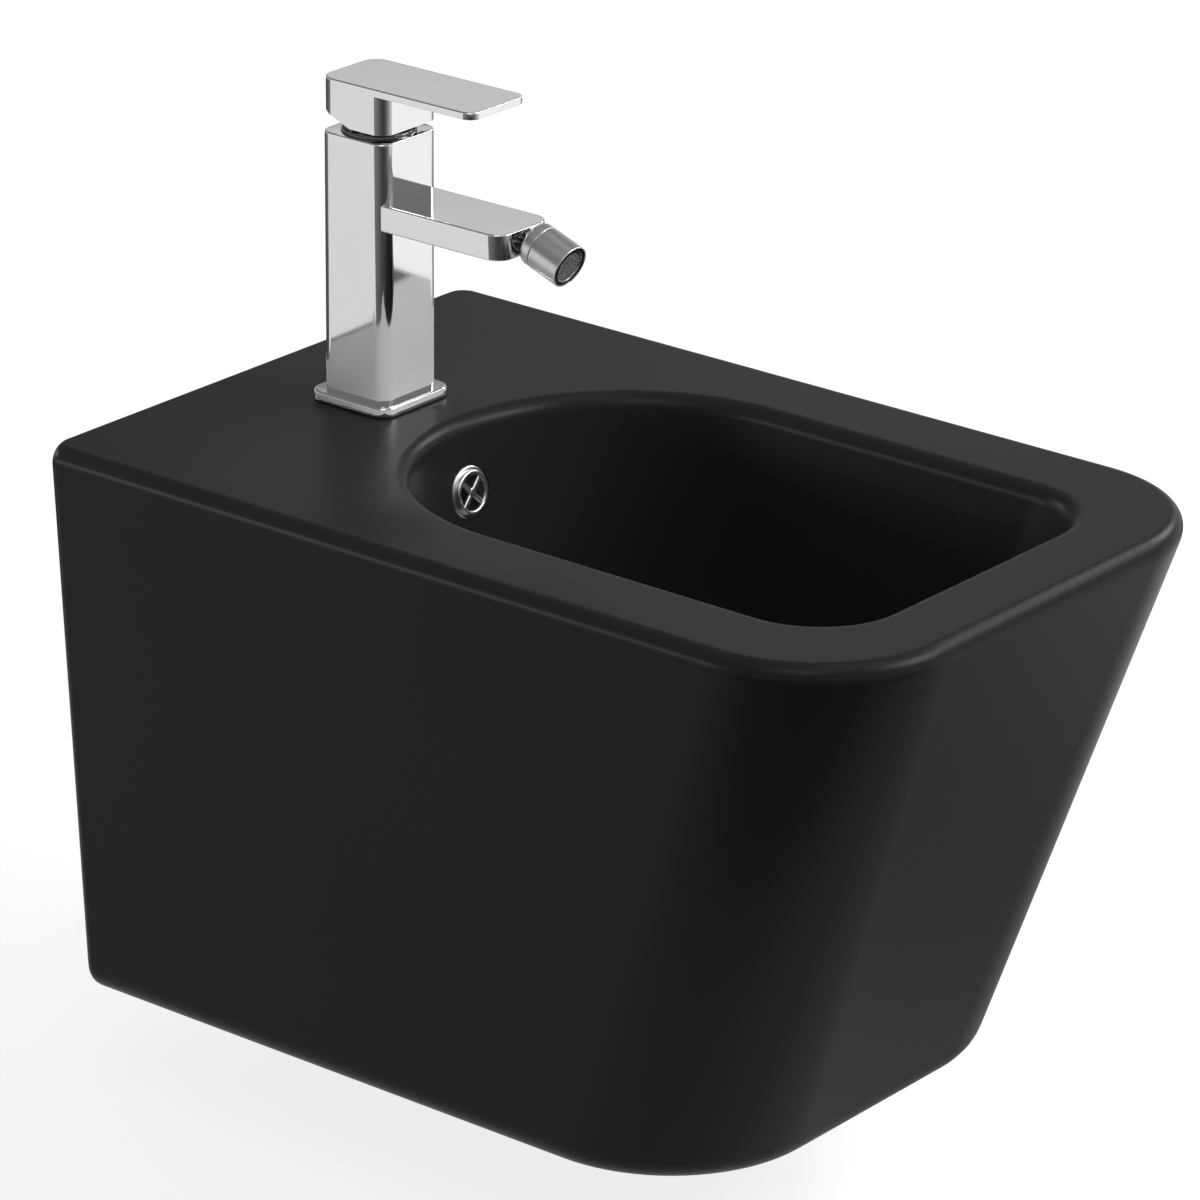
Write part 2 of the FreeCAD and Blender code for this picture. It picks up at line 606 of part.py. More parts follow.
def make_tap_body():
    core = COLUMN_SIDE - 2 * CORE_WALL
    column = prism(square(COLUMN_SIDE, COLUMN_CORNER_R), BASE_TOP, COLUMN_TOP)
    column = column.makeFillet(EDGE_R, level_edges(column, COLUMN_TOP))
    spout_foot = SPOUT_TOP - SPOUT_T
    spout = prism(rectangle(SPOUT_WIDTH / 2, -SPOUT_REACH, 0, SPOUT_CORNER_R, 0), spout_foot, SPOUT_TOP)
    edges = level_edges(spout, SPOUT_TOP) + level_edges(spout, spout_foot)
    spout = spout.makeFillet(EDGE_R, [e for e in edges if e.BoundBox.YMin < -1])
    body = join(column, spout)
    body = body.cut(prism(square(core, CORE_CORNER_R), BASE_TOP, CORE_TOP))

    # Cartridge chamber, and the wider thread for its nut
    chamber = rod(CARTRIDGE_R + FIT, SEAT, COLUMN_TOP).fuse(rod(NUT_R + FIT, PIVOT, COLUMN_TOP))
    body = body.cut(chamber)

    # Waterways: two inlets up to the chamber, one outlet down to the spout
    for x in (-1, 1):
        body = body.cut(rod(INLET_R, CORE_TOP - 1, CORE_TOP + INLET_DEPTH, x * INLET_X, INLET_Y))
        body = body.cut(rod(PORT_R, CORE_TOP, SEAT + 1, x * PORT_X, PORT_Y))
    body = body.cut(rod(OUTLET_R, SPOUT_MID, SEAT + 1, 0, OUTLET_Y))
    body = body.cut(rod_y(WATERWAY_R, -SPOUT_REACH, OUTLET_Y + OUTLET_R, 0, SPOUT_MID))
    thread_end = -SPOUT_REACH + STEM_THREAD_L + STEM_SEAL_T
    body = body.cut(rod_y(STEM_THREAD_R + FIT, -SPOUT_REACH - 1, thread_end, 0, SPOUT_MID))
    save("faucet_body", body, TAP_AT)

    plate = prism(square(BASE_SIDE, BASE_CORNER_R), BASE_GASKET_T, BASE_TOP)
    plate = plate.makeChamfer(BASE_BEVEL, level_edges(plate, BASE_TOP))
    save("base_plate", plate.cut(rod(SHANK_R + CLEAR, BASE_GASKET_T, BASE_TOP)), TAP_AT)
    gasket_side = BASE_SIDE - 2 * BASE_GASKET_INSET
    gasket = prism(square(gasket_side, BASE_CORNER_R - BASE_GASKET_INSET), 0, BASE_GASKET_T)
    save("base_gasket", gasket.cut(rod(TAP_HOLE_R, 0, BASE_GASKET_T)), TAP_AT)


def make_tap_fixing():
    core = COLUMN_SIDE - 2 * CORE_WALL
    shank = join(prism(square(core - 2 * FIT, CORE_CORNER_R), BASE_TOP, BASE_TOP + SHANK_BLOCK_H),
                 rod(SHANK_R, -SHANK_LENGTH, BASE_TOP))
    for x in (-INLET_X, INLET_X):
        shank = shank.cut(rod(HOSE_HOLE_R, -SHANK_LENGTH, BASE_TOP + SHANK_BLOCK_H, x, INLET_Y))
    stud_top = -SHANK_LENGTH + STUD_GRIP
    shank = shank.cut(rod(STUD_R + FIT, -SHANK_LENGTH, stud_top, 0, STUD_Y))
    save("mounting_shank", shank, TAP_AT)
    save("mounting_stud", rod(STUD_R, stud_top - STUD_LENGTH, stud_top, 0, STUD_Y), TAP_AT)

    z = -DECK_T
    slot_back = INLET_Y + HOSE_HOLE_R
    half = HORSESHOE_SLOT / 2
    for name, t in (("horseshoe_washer", HORSESHOE_WASHER_T), ("horseshoe_bracket", HORSESHOE_PLATE_T)):
        plate = rod(HORSESHOE_R, z - t, z)
        plate = plate.cut(block(-half, half, -HORSESHOE_R, slot_back, z - t, z))
        save(name, plate.cut(rod(STUD_R + FIT, z - t, z, 0, STUD_Y)), TAP_AT)
        z -= t
    nut = hexagon(STUD_NUT_R, z - STUD_NUT_H, z).cut(rod(STUD_R + FIT, z - STUD_NUT_H, z))
    nut.translate(Vector(0, STUD_Y, 0))
    save("stud_nut", nut, TAP_AT)


def make_cartridge():
    ports = [(-PORT_X, PORT_Y, PORT_R), (PORT_X, PORT_Y, PORT_R), (0, OUTLET_Y, OUTLET_R)]
    base = rod(CARTRIDGE_R, SEAT, CART_BASE_TOP)
    disc = rod(FIXED_DISC_R, CART_BASE_TOP, FIXED_TOP)
    seals = []
    for x, y, r in ports:
        seals.append(ring(r + SEAL_W, r, SEAT, SEAT + SEAL_T, x, y))
        base = base.cut(rod(r + SEAL_W, SEAT, SEAT + SEAL_T, x, y)).cut(rod(r, SEAT, CART_BASE_TOP, x, y))
        disc = disc.cut(rod(r, CART_BASE_TOP, FIXED_TOP, x, y))
    save("cartridge_base", base, TAP_AT)
    save("base_seals", Part.makeCompound(seals), TAP_AT)
    save("fixed_disc", disc, TAP_AT)

    moving = rod(MOVING_DISC_R, FIXED_TOP, MOVING_TOP, 0, DISC_OFFSET)
    moving = moving.cut(rod(MIX_POCKET_R, FIXED_TOP, FIXED_TOP + MIX_POCKET_T, 0, OUTLET_Y))
    save("moving_disc", moving, TAP_AT)
    carrier = rod(MOVING_DISC_R, MOVING_TOP, CARRIER_TOP, 0, DISC_OFFSET)
    slot_x = STEM_ARM_W / 2 + CLEAR
    tip_y = STEM_TIP_R + CLEAR
    wide_y = tip_y + CARRIER_T * math.tan(math.radians(LIFT_DEG))
    carrier = carrier.cut(block(-slot_x, slot_x, -tip_y, tip_y, MOVING_TOP, CARRIER_TOP))
    carrier = carrier.cut(block(-slot_x, slot_x, -wide_y, wide_y, MOVING_TOP + CARRIER_POCKET_T, CARRIER_TOP))
    save("disc_carrier", carrier, TAP_AT)

    bore_top = CARRIAGE_FOOT + CARRIAGE_FLANGE_T + CLEAR
    housing = join(rod(CARTRIDGE_R, CART_BASE_TOP, PIVOT), rod(HOUSING_NECK_R, PIVOT, PIVOT + HOUSING_NECK_H))
    housing = housing.cut(rod(FIXED_DISC_R + FIT, CART_BASE_TOP, bore_top))
    housing = housing.cut(rod(CARRIAGE_R + FIT, bore_top, PIVOT + HOUSING_NECK_H))
    save("cartridge_housing", housing, TAP_AT)

    # Carriage that turns with the lever, slotted so that the stem can tip
    swing = math.tan(math.radians(LIFT_DEG))
    tipped = 1 / math.cos(math.radians(LIFT_DEG))
    stem_x = STEM_SIDE / 2 + CLEAR
    hub_y = max(STEM_HUB_R, STEM_SIDE / 2 * tipped) + CLEAR
    low_front = -(PIVOT_RISE * swing + STEM_ARM_T / 2 * tipped + CLEAR)
    rise = CARRIAGE_TOP - PIVOT
    high_back = rise * swing + STEM_SIDE / 2 * tipped + CLEAR
    carriage = join(rod(CARRIAGE_R, CARRIAGE_FOOT, CARRIAGE_TOP),
                    rod(CARRIAGE_FLANGE_R, CARRIAGE_FOOT, CARRIAGE_FOOT + CARRIAGE_FLANGE_T))
    slots = [block(-stem_x, stem_x, low_front, hub_y, CARRIAGE_FOOT, PIVOT),
             block(-stem_x, stem_x, -hub_y, hub_y, PIVOT - hub_y, PIVOT + hub_y),
             block(-stem_x, stem_x, -hub_y, high_back, PIVOT, CARRIAGE_TOP)]
    for slot in slots:
        carriage = carriage.cut(slot)
    carriage = carriage.cut(rod_x(PIN_R + FIT / 2, -CARRIAGE_R, CARRIAGE_R, 0, PIVOT))
    save("cartridge_carriage", carriage, TAP_AT)
    save("stem_pin", rod_x(PIN_R, -CARRIAGE_R + 0.5, CARRIAGE_R - 0.5, 0, PIVOT), TAP_AT)

    half = STEM_SIDE / 2
    arm_x = STEM_ARM_W / 2
    arm_y = STEM_ARM_T / 2
    stem = join(block(-half, half, -half, half, PIVOT, PIVOT + STEM_TOP_RISE),
                rod_x(STEM_HUB_R, -half, half, 0, PIVOT),
                block(-arm_x, arm_x, -arm_y, arm_y, STEM_TIP, PIVOT),
                rod_x(STEM_TIP_R, -arm_x, arm_x, 0, STEM_TIP))
    save("cartridge_stem", stem.cut(rod_x(PIN_R + FIT, -half, half, 0, PIVOT)), TAP_AT)

    nut = ring(NUT_R, HOUSING_NECK_R + FIT, PIVOT, PIVOT + NUT_T)
    save("cartridge_nut", nut, TAP_AT)
    inner = HOUSING_NECK_R + FIT
    cover_top = COLUMN_TOP + COVER_H
    cover = turned([(inner, COLUMN_TOP), (COVER_R, COLUMN_TOP), (COVER_R, COLUMN_TOP + COVER_LIP),
                    (COVER_R - COVER_LIP, COLUMN_TOP + 2 * COVER_LIP), (inner + COVER_LIP, cover_top),
                    (inner, cover_top)])
    save("cover_ring", cover, TAP_AT)


def make_lever():
    half = COLUMN_SIDE / 2
    plate = prism(rectangle(half, -LEVER_REACH, half, LEVER_FRONT_R, LEVER_BACK_R), LEVER_UNDER, LEVER_TOP)
    plate = plate.makeFillet(EDGE_R, level_edges(plate, LEVER_TOP))
    skirt_block = prism(rectangle(half, -half, half, COLUMN_CORNER_R, LEVER_BACK_R), LEVER_FOOT, LEVER_UNDER)
    lever = join(plate, skirt_block)

    # Slope under the back, then the hollow with the stem's socket in it
    past = half + 1
    relief = [(half - LEVER_RELIEF_L, LEVER_FOOT), (past, LEVER_FOOT), (past, LEVER_FOOT + LEVER_RELIEF_H)]
    lever = lever.cut(side_profile(relief, past))
    roof = LEVER_UNDER - LEVER_ROOF
    room = prism(square(COLUMN_SIDE - 2 * LEVER_WALL, CORE_CORNER_R), LEVER_FOOT, roof)
    stem_top = PIVOT + STEM_TOP_RISE
    socket = rod(SOCKET_BOSS_R, stem_top - SOCKET_DEPTH, roof + 1)
    lever = lever.cut(room.cut(socket))
    hole = STEM_SIDE / 2 + FIT
    lever = lever.cut(block(-hole, hole, -hole, hole, stem_top - SOCKET_DEPTH, stem_top + CLEAR))

    # Set screw in the socket, and a button that closes its hole in the back
    screw_z = LEVER_TOP - SCREW_DROP
    lever = lever.cut(rod_y(SCREW_R + FIT, 0, SOCKET_BOSS_R + 1, 0, screw_z))
    lever = lever.cut(rod_y(PLUG_BUTTON_R, half - LEVER_WALL - 1, half + 1, 0, screw_z))
    save("lever_handle", lever, TAP_AT)
    screw_from = STEM_SIDE / 2 + FIT
    save("handle_set_screw", rod_y(SCREW_R, screw_from, screw_from + SCREW_LENGTH, 0, screw_z), TAP_AT)
    button = rod_y(PLUG_BUTTON_R - FIT, half - PLUG_BUTTON_T, half, 0, screw_z)
    save("handle_plug", button, TAP_AT)


def make_ball():
    """Ball on its ribbed neck, screwed into the spout's end; its axis runs along local Z."""
    face = -BALL_REACH
    ball = Part.makeSphere(BALL_R)
    neck = rod(BALL_NECK_R, face, 0)
    thread = rod(STEM_THREAD_R, face - STEM_THREAD_L, face)
    ribs = [rod(NECK_RIB_R, face, face + NECK_RIB_T),
            rod(NECK_RIB_R - NECK_RIB_T, face + 2 * NECK_RIB_T, face + 3 * NECK_RIB_T)]
    stem = join(ball, neck, thread, *ribs).cut(rod(BALL_BORE_R, face - STEM_THREAD_L, BALL_R))
    save("ball_stem", stem, BALL_AT, 90.0)
    seal = ring(STEM_THREAD_R, WATERWAY_R, face - STEM_THREAD_L - STEM_SEAL_T, face - STEM_THREAD_L)
    save("ball_stem_seal", seal, BALL_AT, 90.0)

    # Cup on the front of the ball
    inner = BALL_R + FIT
    outer = inner + LINER_T
    shell = Part.makeSphere(outer).cut(Part.makeSphere(inner))
    z0 = outer * math.sin(math.radians(LINER_FROM_DEG))
    z1 = inner * math.sin(math.radians(LINER_TO_DEG))
    save("ball_liner", shell.common(rod(outer + 1, z0, z1)), BALL_AT, 90.0)


def make_aerator():
    """Housing of the swivel aerator, tilted down; its axis runs along local Z."""
    collar = turned([(0, -COLLAR_BACK), (COLLAR_R - COLLAR_CHAMFER, -COLLAR_BACK),
                     (COLLAR_R, -COLLAR_BACK + COLLAR_CHAMFER), (COLLAR_R, COLLAR_FRONT), (0, COLLAR_FRONT)])
    spigot_back = COLLAR_FRONT - SHELL_SPIGOT_L
    room = [rod(SHELL_BORE_R, 0, COLLAR_FRONT), rod(SHELL_SPIGOT_R + FIT, spigot_back, COLLAR_FRONT),
            Part.makeSphere(BALL_R + FIT), rod(COLLAR_MOUTH_R, -COLLAR_BACK, 0)]
    for space in room:
        collar = collar.cut(space)
    save("swivel_collar", collar, BALL_AT, AERATOR_TURN)

    mouth = COLLAR_FRONT + SHELL_L
    ring_back = mouth - MOUTH_RING_T
    shell = join(rod(COLLAR_R, COLLAR_FRONT, mouth), rod(SHELL_SPIGOT_R, spigot_back, COLLAR_FRONT))
    outside = [e for e in level_edges(shell, mouth)]
    shell = shell.makeFillet(EDGE_R / 2, outside)
    shell = shell.cut(rod(SHELL_BORE_R, spigot_back, mouth)).cut(rod(MOUTH_RING_R, ring_back, mouth))
    save("aerator_shell", shell, BALL_AT, AERATOR_TURN)
    core_r = MOUTH_RING_R - MOUTH_RING_W
    seal = ring(MOUTH_RING_R - FIT, core_r, ring_back, mouth - CLEAR)
    save("aerator_seal", seal, BALL_AT, AERATOR_TURN)

    core_front = mouth - CLEAR
    core_back = core_front - CORE_L
    bore = core_r - CORE_RIM
    core = ring(core_r, bore, core_back, core_front)
    grid = rod(bore, core_back, core_back + CORE_GRID_T)
    for k in range(CORE_HOLES):
        turn = 2 * math.pi * k / CORE_HOLES
        for reach in (bore * 0.38, bore * 0.74):
            x = reach * math.cos(turn)
            y = reach * math.sin(turn)
            grid = grid.cut(rod(CORE_HOLE_R, core_back, core_back + CORE_GRID_T, x, y))
    save("aerator_core", join(core, grid), BALL_AT, AERATOR_TURN)
    mesh_front = core_front - MESH_INSET
    save("aerator_mesh", rod(bore, mesh_front - MESH_T, mesh_front), BALL_AT, AERATOR_TURN)


os.makedirs("parts", exist_ok=True)
make_ceramic()
make_bushes()
make_overflow()
make_waste()
make_plug()
make_tap_body()
make_tap_fixing()
make_cartridge()
make_lever()
make_ball()
make_aerator()
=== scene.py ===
"""Wall-hung bidet in satin black glaze with a chrome single-lever tap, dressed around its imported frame.

Sizes are written in millimetres and multiplied by MM. The front faces -Y and the wall plane is y = 0.
"""
import json
import math

import bmesh
import bpy
from mathutils import Matrix, Vector


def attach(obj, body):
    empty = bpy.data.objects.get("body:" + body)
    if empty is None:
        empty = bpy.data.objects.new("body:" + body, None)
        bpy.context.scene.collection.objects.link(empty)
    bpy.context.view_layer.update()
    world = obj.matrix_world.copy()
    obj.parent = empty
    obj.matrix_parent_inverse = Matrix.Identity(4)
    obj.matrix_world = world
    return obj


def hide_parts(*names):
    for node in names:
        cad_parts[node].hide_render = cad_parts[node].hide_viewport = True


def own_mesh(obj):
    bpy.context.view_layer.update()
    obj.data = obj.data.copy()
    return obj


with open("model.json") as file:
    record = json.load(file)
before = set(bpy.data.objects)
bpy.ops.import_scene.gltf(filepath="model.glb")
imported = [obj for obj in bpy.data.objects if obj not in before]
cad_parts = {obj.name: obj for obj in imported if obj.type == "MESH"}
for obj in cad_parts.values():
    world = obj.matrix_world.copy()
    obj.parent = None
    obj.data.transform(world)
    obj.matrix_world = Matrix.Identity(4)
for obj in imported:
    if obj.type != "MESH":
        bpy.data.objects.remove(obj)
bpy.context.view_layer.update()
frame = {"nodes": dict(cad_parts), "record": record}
MM = 0.001
ORIGIN = (0, 0, 0)
UP = (0, 0, 1)
BLACK = (0, 0, 0)
WHITE = (1, 1, 1)

# Ceramic outside; a lean is how far a wall goes in from the deck to the foot
DECK = 85.0
FOOT = -240.0
HALF_WIDTH = 175.0
LENGTH = 535.0
SIDE_LEAN = 20.0
FRONT_LEAN = 108.0
TOP_CORNER_R = 85.0
FOOT_CORNER_R = 92.0
REAR_CORNER_R = 8.0
TOP_EDGE_R = 9.0
TOP_EDGE_TURN = 109
FOOT_EDGE_R = 17.0
SKIRT_HEIGHTS = [20.0, -40.0, -110.0, -180.0]

# Hollow under the deck
WALL = 10.0
REAR_WALL = 12.0
DECK_T = 14.0
LIP_T = 22.0
LIP_W = 34.0
HOLLOW_MIDDLE = -80.0
PIPE_HALF = 75.0
PIPE_HEIGHT = 130.0
PIPE_TOP = -55.0
PIPE_CORNER_R = 18.0
BOLTS_X = (-90.0, 90.0)
BOLT_BORE_R = 9.05
BOLT_BOSS_R = 24.0

# Bowl; leans of its sides, back and front
BOWL_HALF = 117.5
BOWL_BACK = 141.5
BOWL_FRONT = 483.5
BOWL_CORNER_R = 46.5
BOWL_DEPTH = 150.0
BOWL_LEANS = (19.5, 21.5, 58.0)
BOWL_BACK_SLOPE = BOWL_LEANS[1] / BOWL_DEPTH
BOWL_BACK_ROUND = 0.9995
BOWL_MIDDLES = [40.0, 70.0]
BOWL_FLOOR_R = 50.0
RIM_R = 9.0
FLOOR_T = 12.0
SKIN_MIDDLE = 60.0
CORNER_STEPS = 20
EASE_STEPS = 4

# Overflow and waste
OVERFLOW_DROP = 40.0
OVERFLOW_SEAT_R = 15.3
OVERFLOW_SEAT_T = 1.4
OVERFLOW_BORE_R = 11.5
CHUTE_RISE = 18.5
CHUTE_OUT = 27.0
DUCT_HALF = 22.0
DUCT_FRONT = -232.0
DUCT_BACK = -146.0
DUCT_DROP = 41.0
DRAIN_Y = -255.0
DRAIN_CONE_R = 76.75
DRAIN_SEAT_R = 33.0
DRAIN_BORE_R = 23.0
DRAIN_BOSS_R = 42.0
WASTE_SEAT = DECK - BOWL_DEPTH - 8.0
SPRING_DROP = 26.0
SPRING_LENGTH = 29.0
SPRING_R = 5.2
SPRING_WIRE_R = 0.6
SPRING_TURNS = 6
SPRING_TURN_STEPS = 40

# Tap: its foot on the deck, then sizes measured from there
TAP = Vector((0.0, -84.0, DECK))
TAP_HOLE_R = 17.5
COLUMN = 46.0
BASE = 56.2
BASE_TOP = 6.2
COLUMN_TOP = 152.5
SPOUT_TOP = 118.7
SPOUT_T = 14.7
SPOUT_W = 43.0
SPOUT_REACH = 102.5
CORE_HALF = 17.0
CORE_TOP = 82.0
CARTRIDGE_R = 17.35
CARTRIDGE_FLOOR = 118.5
NUT_R = 19.05
NUT_FLOOR = 143.5
NECK_BORE_R = 6.55
NECK_BORE_DEPTH = 10.5
LEVER_FOOT = 157.3
LEVER_UNDER = 178.6
LEVER_TOP = 182.8
LEVER_REACH = 84.0
SLANT_RUN = 22.0
SLANT_RISE = 8.4
LEVER_ROOM_HALF = 19.0
SOCKET_R = 8.5
SOCKET_FOOT = 162.5
STEM_HOLE_HALF = 4.05
STEM_HOLE_TOP = 176.3

# Aerator: its ball's centre in the shared frame, and the tilt at rest in degrees
BALL = Vector((0.0, -194.3, 196.35))
BALL_R = 8.5
TILT = 20.0
SCREEN_R = 9.2
SCREEN_HALF = 9.6
SCREEN_CELLS = 36
SCREEN_WIRE = 0.1
SCREEN_REACH = 22.4

# Distances in metres within which points count as one
MERGE = 1e-6
CARVE_MERGE = 2e-6
TINY = 1e-7

# Camera: angles in degrees, then where the aim falls in a frame of FRAME_PX pixels
VIEW_AZIMUTH = -51.112
VIEW_ELEVATION = 21.746
VIEW_ROLL = 0.5
AIM = Vector((0.0, -250.0, DECK - 140.0))
AIM_RIGHT_PX = 15.788
AIM_BELOW_PX = 110.711
FRAME_PX = 1200
FOCAL_PX = 6433.71
PX_PER_MM = 1.86513
SENSOR_WIDTH = 36.0
FAR_CLIP = 50.0

# Lamps in metres: place, target, width, height and watts
MIDDLE = (0, -0.25, 0)
LAMPS = {
    "key": ((-1.6, -1.2, 2.2), MIDDLE, 1.4, 1.4, 15),
    "top": ((0.4, -0.95, 2.2), MIDDLE, 1.6, 1.4, 6),
    "right": ((1.75, -1.45, 1.55), MIDDLE, 0.45, 0.4, 6),
    "front": ((0.9, -2.0, 1.5), MIDDLE, 1.3, 1.0, 40),
    "right_fill": ((2.0, -0.5, 1.15), MIDDLE, 0.8, 0.6, 13),
    "back_card": ((1.735, 1.27, 1.12), (0, -0.1, 0.2), 0.6, 0.42, 0.34),
    "side_card": ((1.995, 0.824, 1.0), (0.1, -0.4, 0.1), 0.7, 0.5, 0.35),
}
REAR_LAMPS = {
    "left_back": ((-1.75, 1.15, 0.34), (0, -0.25, 0.08), 1.3, 0.3, 11),
    "rear_fill": ((-0.5, 2.1, 0.9), MIDDLE, 1.2, 0.8, 16),
}
FLOOR_Z = FOOT - 75.0
FLOOR_HALF = 6.0
CARD_Z = FLOOR_Z + 4.0
CARD_HALF = (2200, 800)
CARD_TURN = -39


# Shader building
class Value:
    """A number on a surface; arithmetic on it adds Math nodes."""

    def __init__(self, tree, socket):
        self.tree = tree
        self.socket = socket

    def maths(self, operation, first, second=0.0):
        node = self.tree.nodes.new("ShaderNodeMath")
        node.operation = operation
        for entry, item in zip(node.inputs, (first, second)):
            if isinstance(item, Value):
                self.tree.links.new(item.socket, entry)
            else:
                entry.default_value = item
        return Value(self.tree, node.outputs[0])

    def __add__(self, other):
        return self.maths("ADD", self, other)

    def __radd__(self, other):
        return self.maths("ADD", other, self)

    def __sub__(self, other):
        return self.maths("SUBTRACT", self, other)

    def __rsub__(self, other):
        return self.maths("SUBTRACT", other, self)

    def __mul__(self, other):
        return self.maths("MULTIPLY", self, other)

    def __rmul__(self, other):
        return self.maths("MULTIPLY", other, self)

    def __abs__(self):
        return self.maths("ABSOLUTE", self)

    def __gt__(self, other):
        return self.maths("GREATER_THAN", self, other)

    def at_least(self, other):
        return self.maths("MAXIMUM", self, other)

    def at_most(self, other):
        return self.maths("MINIMUM", self, other)


class Nodes:
    """The nodes of a material or of the world, round its one shader."""

    def __init__(self, owner, shader):
        owner.use_nodes = True
        self.tree = owner.node_tree
        self.shader = self.tree.nodes[shader]

    def node(self, kind, output, settings=(), **inputs):
        """Add a node, set it up, feed its sockets and return one of its outputs."""
        node = self.tree.nodes.new(kind)
        for key, setting in dict(settings).items():
            setattr(node, key, setting)
        self.feed(node, inputs)
        return Value(self.tree, node.outputs[output])

    def feed(self, node, inputs):
        for key, item in inputs.items():
            entry = node.inputs[key.replace("_", " ")]
            if isinstance(item, Value):
                self.tree.links.new(item.socket, entry)
            else:
                entry.default_value = item

    def set(self, **inputs):
        self.feed(self.shader, inputs)

    def place(self, kind="Object"):
        return self.node("ShaderNodeTexCoord", kind)

    def axis(self, letter, kind="Object"):
        """One coordinate of the place."""
        return self.node("ShaderNodeSeparateXYZ", letter, Vector=self.place(kind))

    def noise(self, scale, detail=2.0, roughness=0.5):
        return self.node("ShaderNodeTexNoise", "Fac", Vector=self.place(), Scale=scale, Detail=detail,
                         Roughness=roughness)

    def shade(self, low, high, amount):
        """Colour between two tones, by amount."""
        return self.node("ShaderNodeMix", "Result", {"data_type": "RGBA"}, Factor=amount, A=(*low, 1.0),
                         B=(*high, 1.0))

    def bump(self, height, strength, depth):
        normal = self.node("ShaderNodeBump", "Normal", Height=height, Strength=strength, Distance=depth)
        self.set(Normal=normal)


class Finish(Nodes):
    """One material."""

    def __init__(self, name):
        self.material = bpy.data.materials.new(name)
        super().__init__(self.material, "Principled BSDF")


def glaze():
    finish = Finish("satin_black_glaze")
    cloud = finish.noise(7.0, detail=3.0)
    grain = finish.noise(900.0, roughness=0.6)
    orange_peel = finish.noise(120.0)
    finish.set(Base_Color=finish.shade((0.014, 0.014, 0.0143), (0.018, 0.018, 0.0183), cloud),
               Roughness=0.29 + cloud * 0.04 + grain * 0.04, Specular_IOR_Level=0.1)
    finish.bump(orange_peel * 0.7 + grain * 0.3, strength=0.05, depth=0.0004)
    return finish.material


def polished(name, low, high, roughness, streak=0.03):
    """Plated or polished metal with faint wipe marks."""
    finish = Finish(name)
    cloud = finish.noise(30.0)
    wipe = finish.noise(600.0, detail=3.0, roughness=0.6)
    finish.set(Base_Color=finish.shade(low, high, cloud), Metallic=1.0,
               Roughness=roughness + wipe * streak + cloud * streak * 0.5)
    return finish.material


def machined(name, low, high, roughness):
    """Bare metal with fine tool marks."""
    finish = Finish(name)
    marks = finish.noise(1500.0, roughness=0.7)
    cloud = finish.noise(60.0, detail=3.0)
    finish.set(Base_Color=finish.shade(low, high, cloud), Metallic=1.0, Roughness=roughness + marks * 0.15)
    finish.bump(marks, strength=0.08, depth=0.0001)
    return finish.material


def moulded(name, low, high, roughness, grain_scale=1400.0, gloss=0.5):
    """Moulded plastic, rubber or fired disc with a fine grain."""
    finish = Finish(name)
    grain = finish.noise(grain_scale, roughness=0.6)
    cloud = finish.noise(45.0)
    finish.set(Base_Color=finish.shade(low, high, cloud), Roughness=roughness + grain * 0.12,
               Specular_IOR_Level=gloss)
    finish.bump(grain, strength=0.1, depth=0.0001)
    return finish.material


# The record's material slots, and a duller chrome for some of the small pieces
FINISHES = {
    "ceramic": glaze(),
    "chrome": polished("polished_chrome", (0.83, 0.83, 0.835), (0.87, 0.87, 0.875), 0.045),
    # Dark plating for the ball's neck; on the dome ring the same dark finish is painted shade of the gap
    # under the lever
    "dark_metal": polished("dark_plating_and_gap_shade", (0.13, 0.13, 0.135), (0.19, 0.19, 0.195), 0.1, streak=0.05),
    "brass": machined("machined_brass", (0.66, 0.50, 0.24), (0.76, 0.60, 0.32), 0.24),
    "steel": machined("bright_steel", (0.52, 0.53, 0.55), (0.62, 0.63, 0.65), 0.22),
    "rubber": moulded("black_rubber", (0.022, 0.022, 0.022), (0.035, 0.035, 0.034), 0.6),
    "dark_plastic": moulded("black_plastic", (0.012, 0.012, 0.013), (0.02, 0.02, 0.021), 0.45, gloss=0.12),
    "white_plastic": moulded("white_plastic", (0.74, 0.74, 0.72), (0.82, 0.82, 0.80), 0.42),
    "blue_plastic": moulded("blue_plastic", (0.12, 0.22, 0.40), (0.16, 0.28, 0.48), 0.42),
    "disc_ceramic": moulded("fired_white_disc", (0.80, 0.79, 0.75), (0.86, 0.85, 0.82), 0.25,
                            grain_scale=2500.0),
}
SATIN_CHROME = polished("satin_chrome", (0.68, 0.68, 0.685), (0.74, 0.74, 0.745), 0.27, streak=0.06)


# Mesh building
def shift(bm, place):
    bmesh.ops.translate(bm, verts=bm.verts[:], vec=Vector(place) * MM)
    return bm


def turn(bm, degrees, axis):
    """Turn about an axis through the origin."""
    matrix = Matrix.Rotation(math.radians(degrees), 3, axis)
    bmesh.ops.rotate(bm, verts=bm.verts[:], cent=ORIGIN, matrix=matrix)
    return bm


def tip(bm, degrees):
    return turn(bm, degrees, "X")


def clean(bm):
    bmesh.ops.remove_doubles(bm, verts=bm.verts[:], dist=MERGE)
    bmesh.ops.recalc_face_normals(bm, faces=bm.faces[:])


def cap(bm, loop):
    bmesh.ops.contextual_create(bm, geom=loop)


def fill_between(bm, outer, inner, facing):
    """Flat faces between two loops, facing up (1) or down (-1)."""
    bmesh.ops.triangle_fill(bm, use_beauty=True, edges=outer + inner, normal=(0, 0, facing))


def round_off(bm, parts, affect, r, segments):
    bmesh.ops.bevel(bm, geom=parts, offset=r * MM, affect=affect, segments=segments, profile=0.5, material=-1)


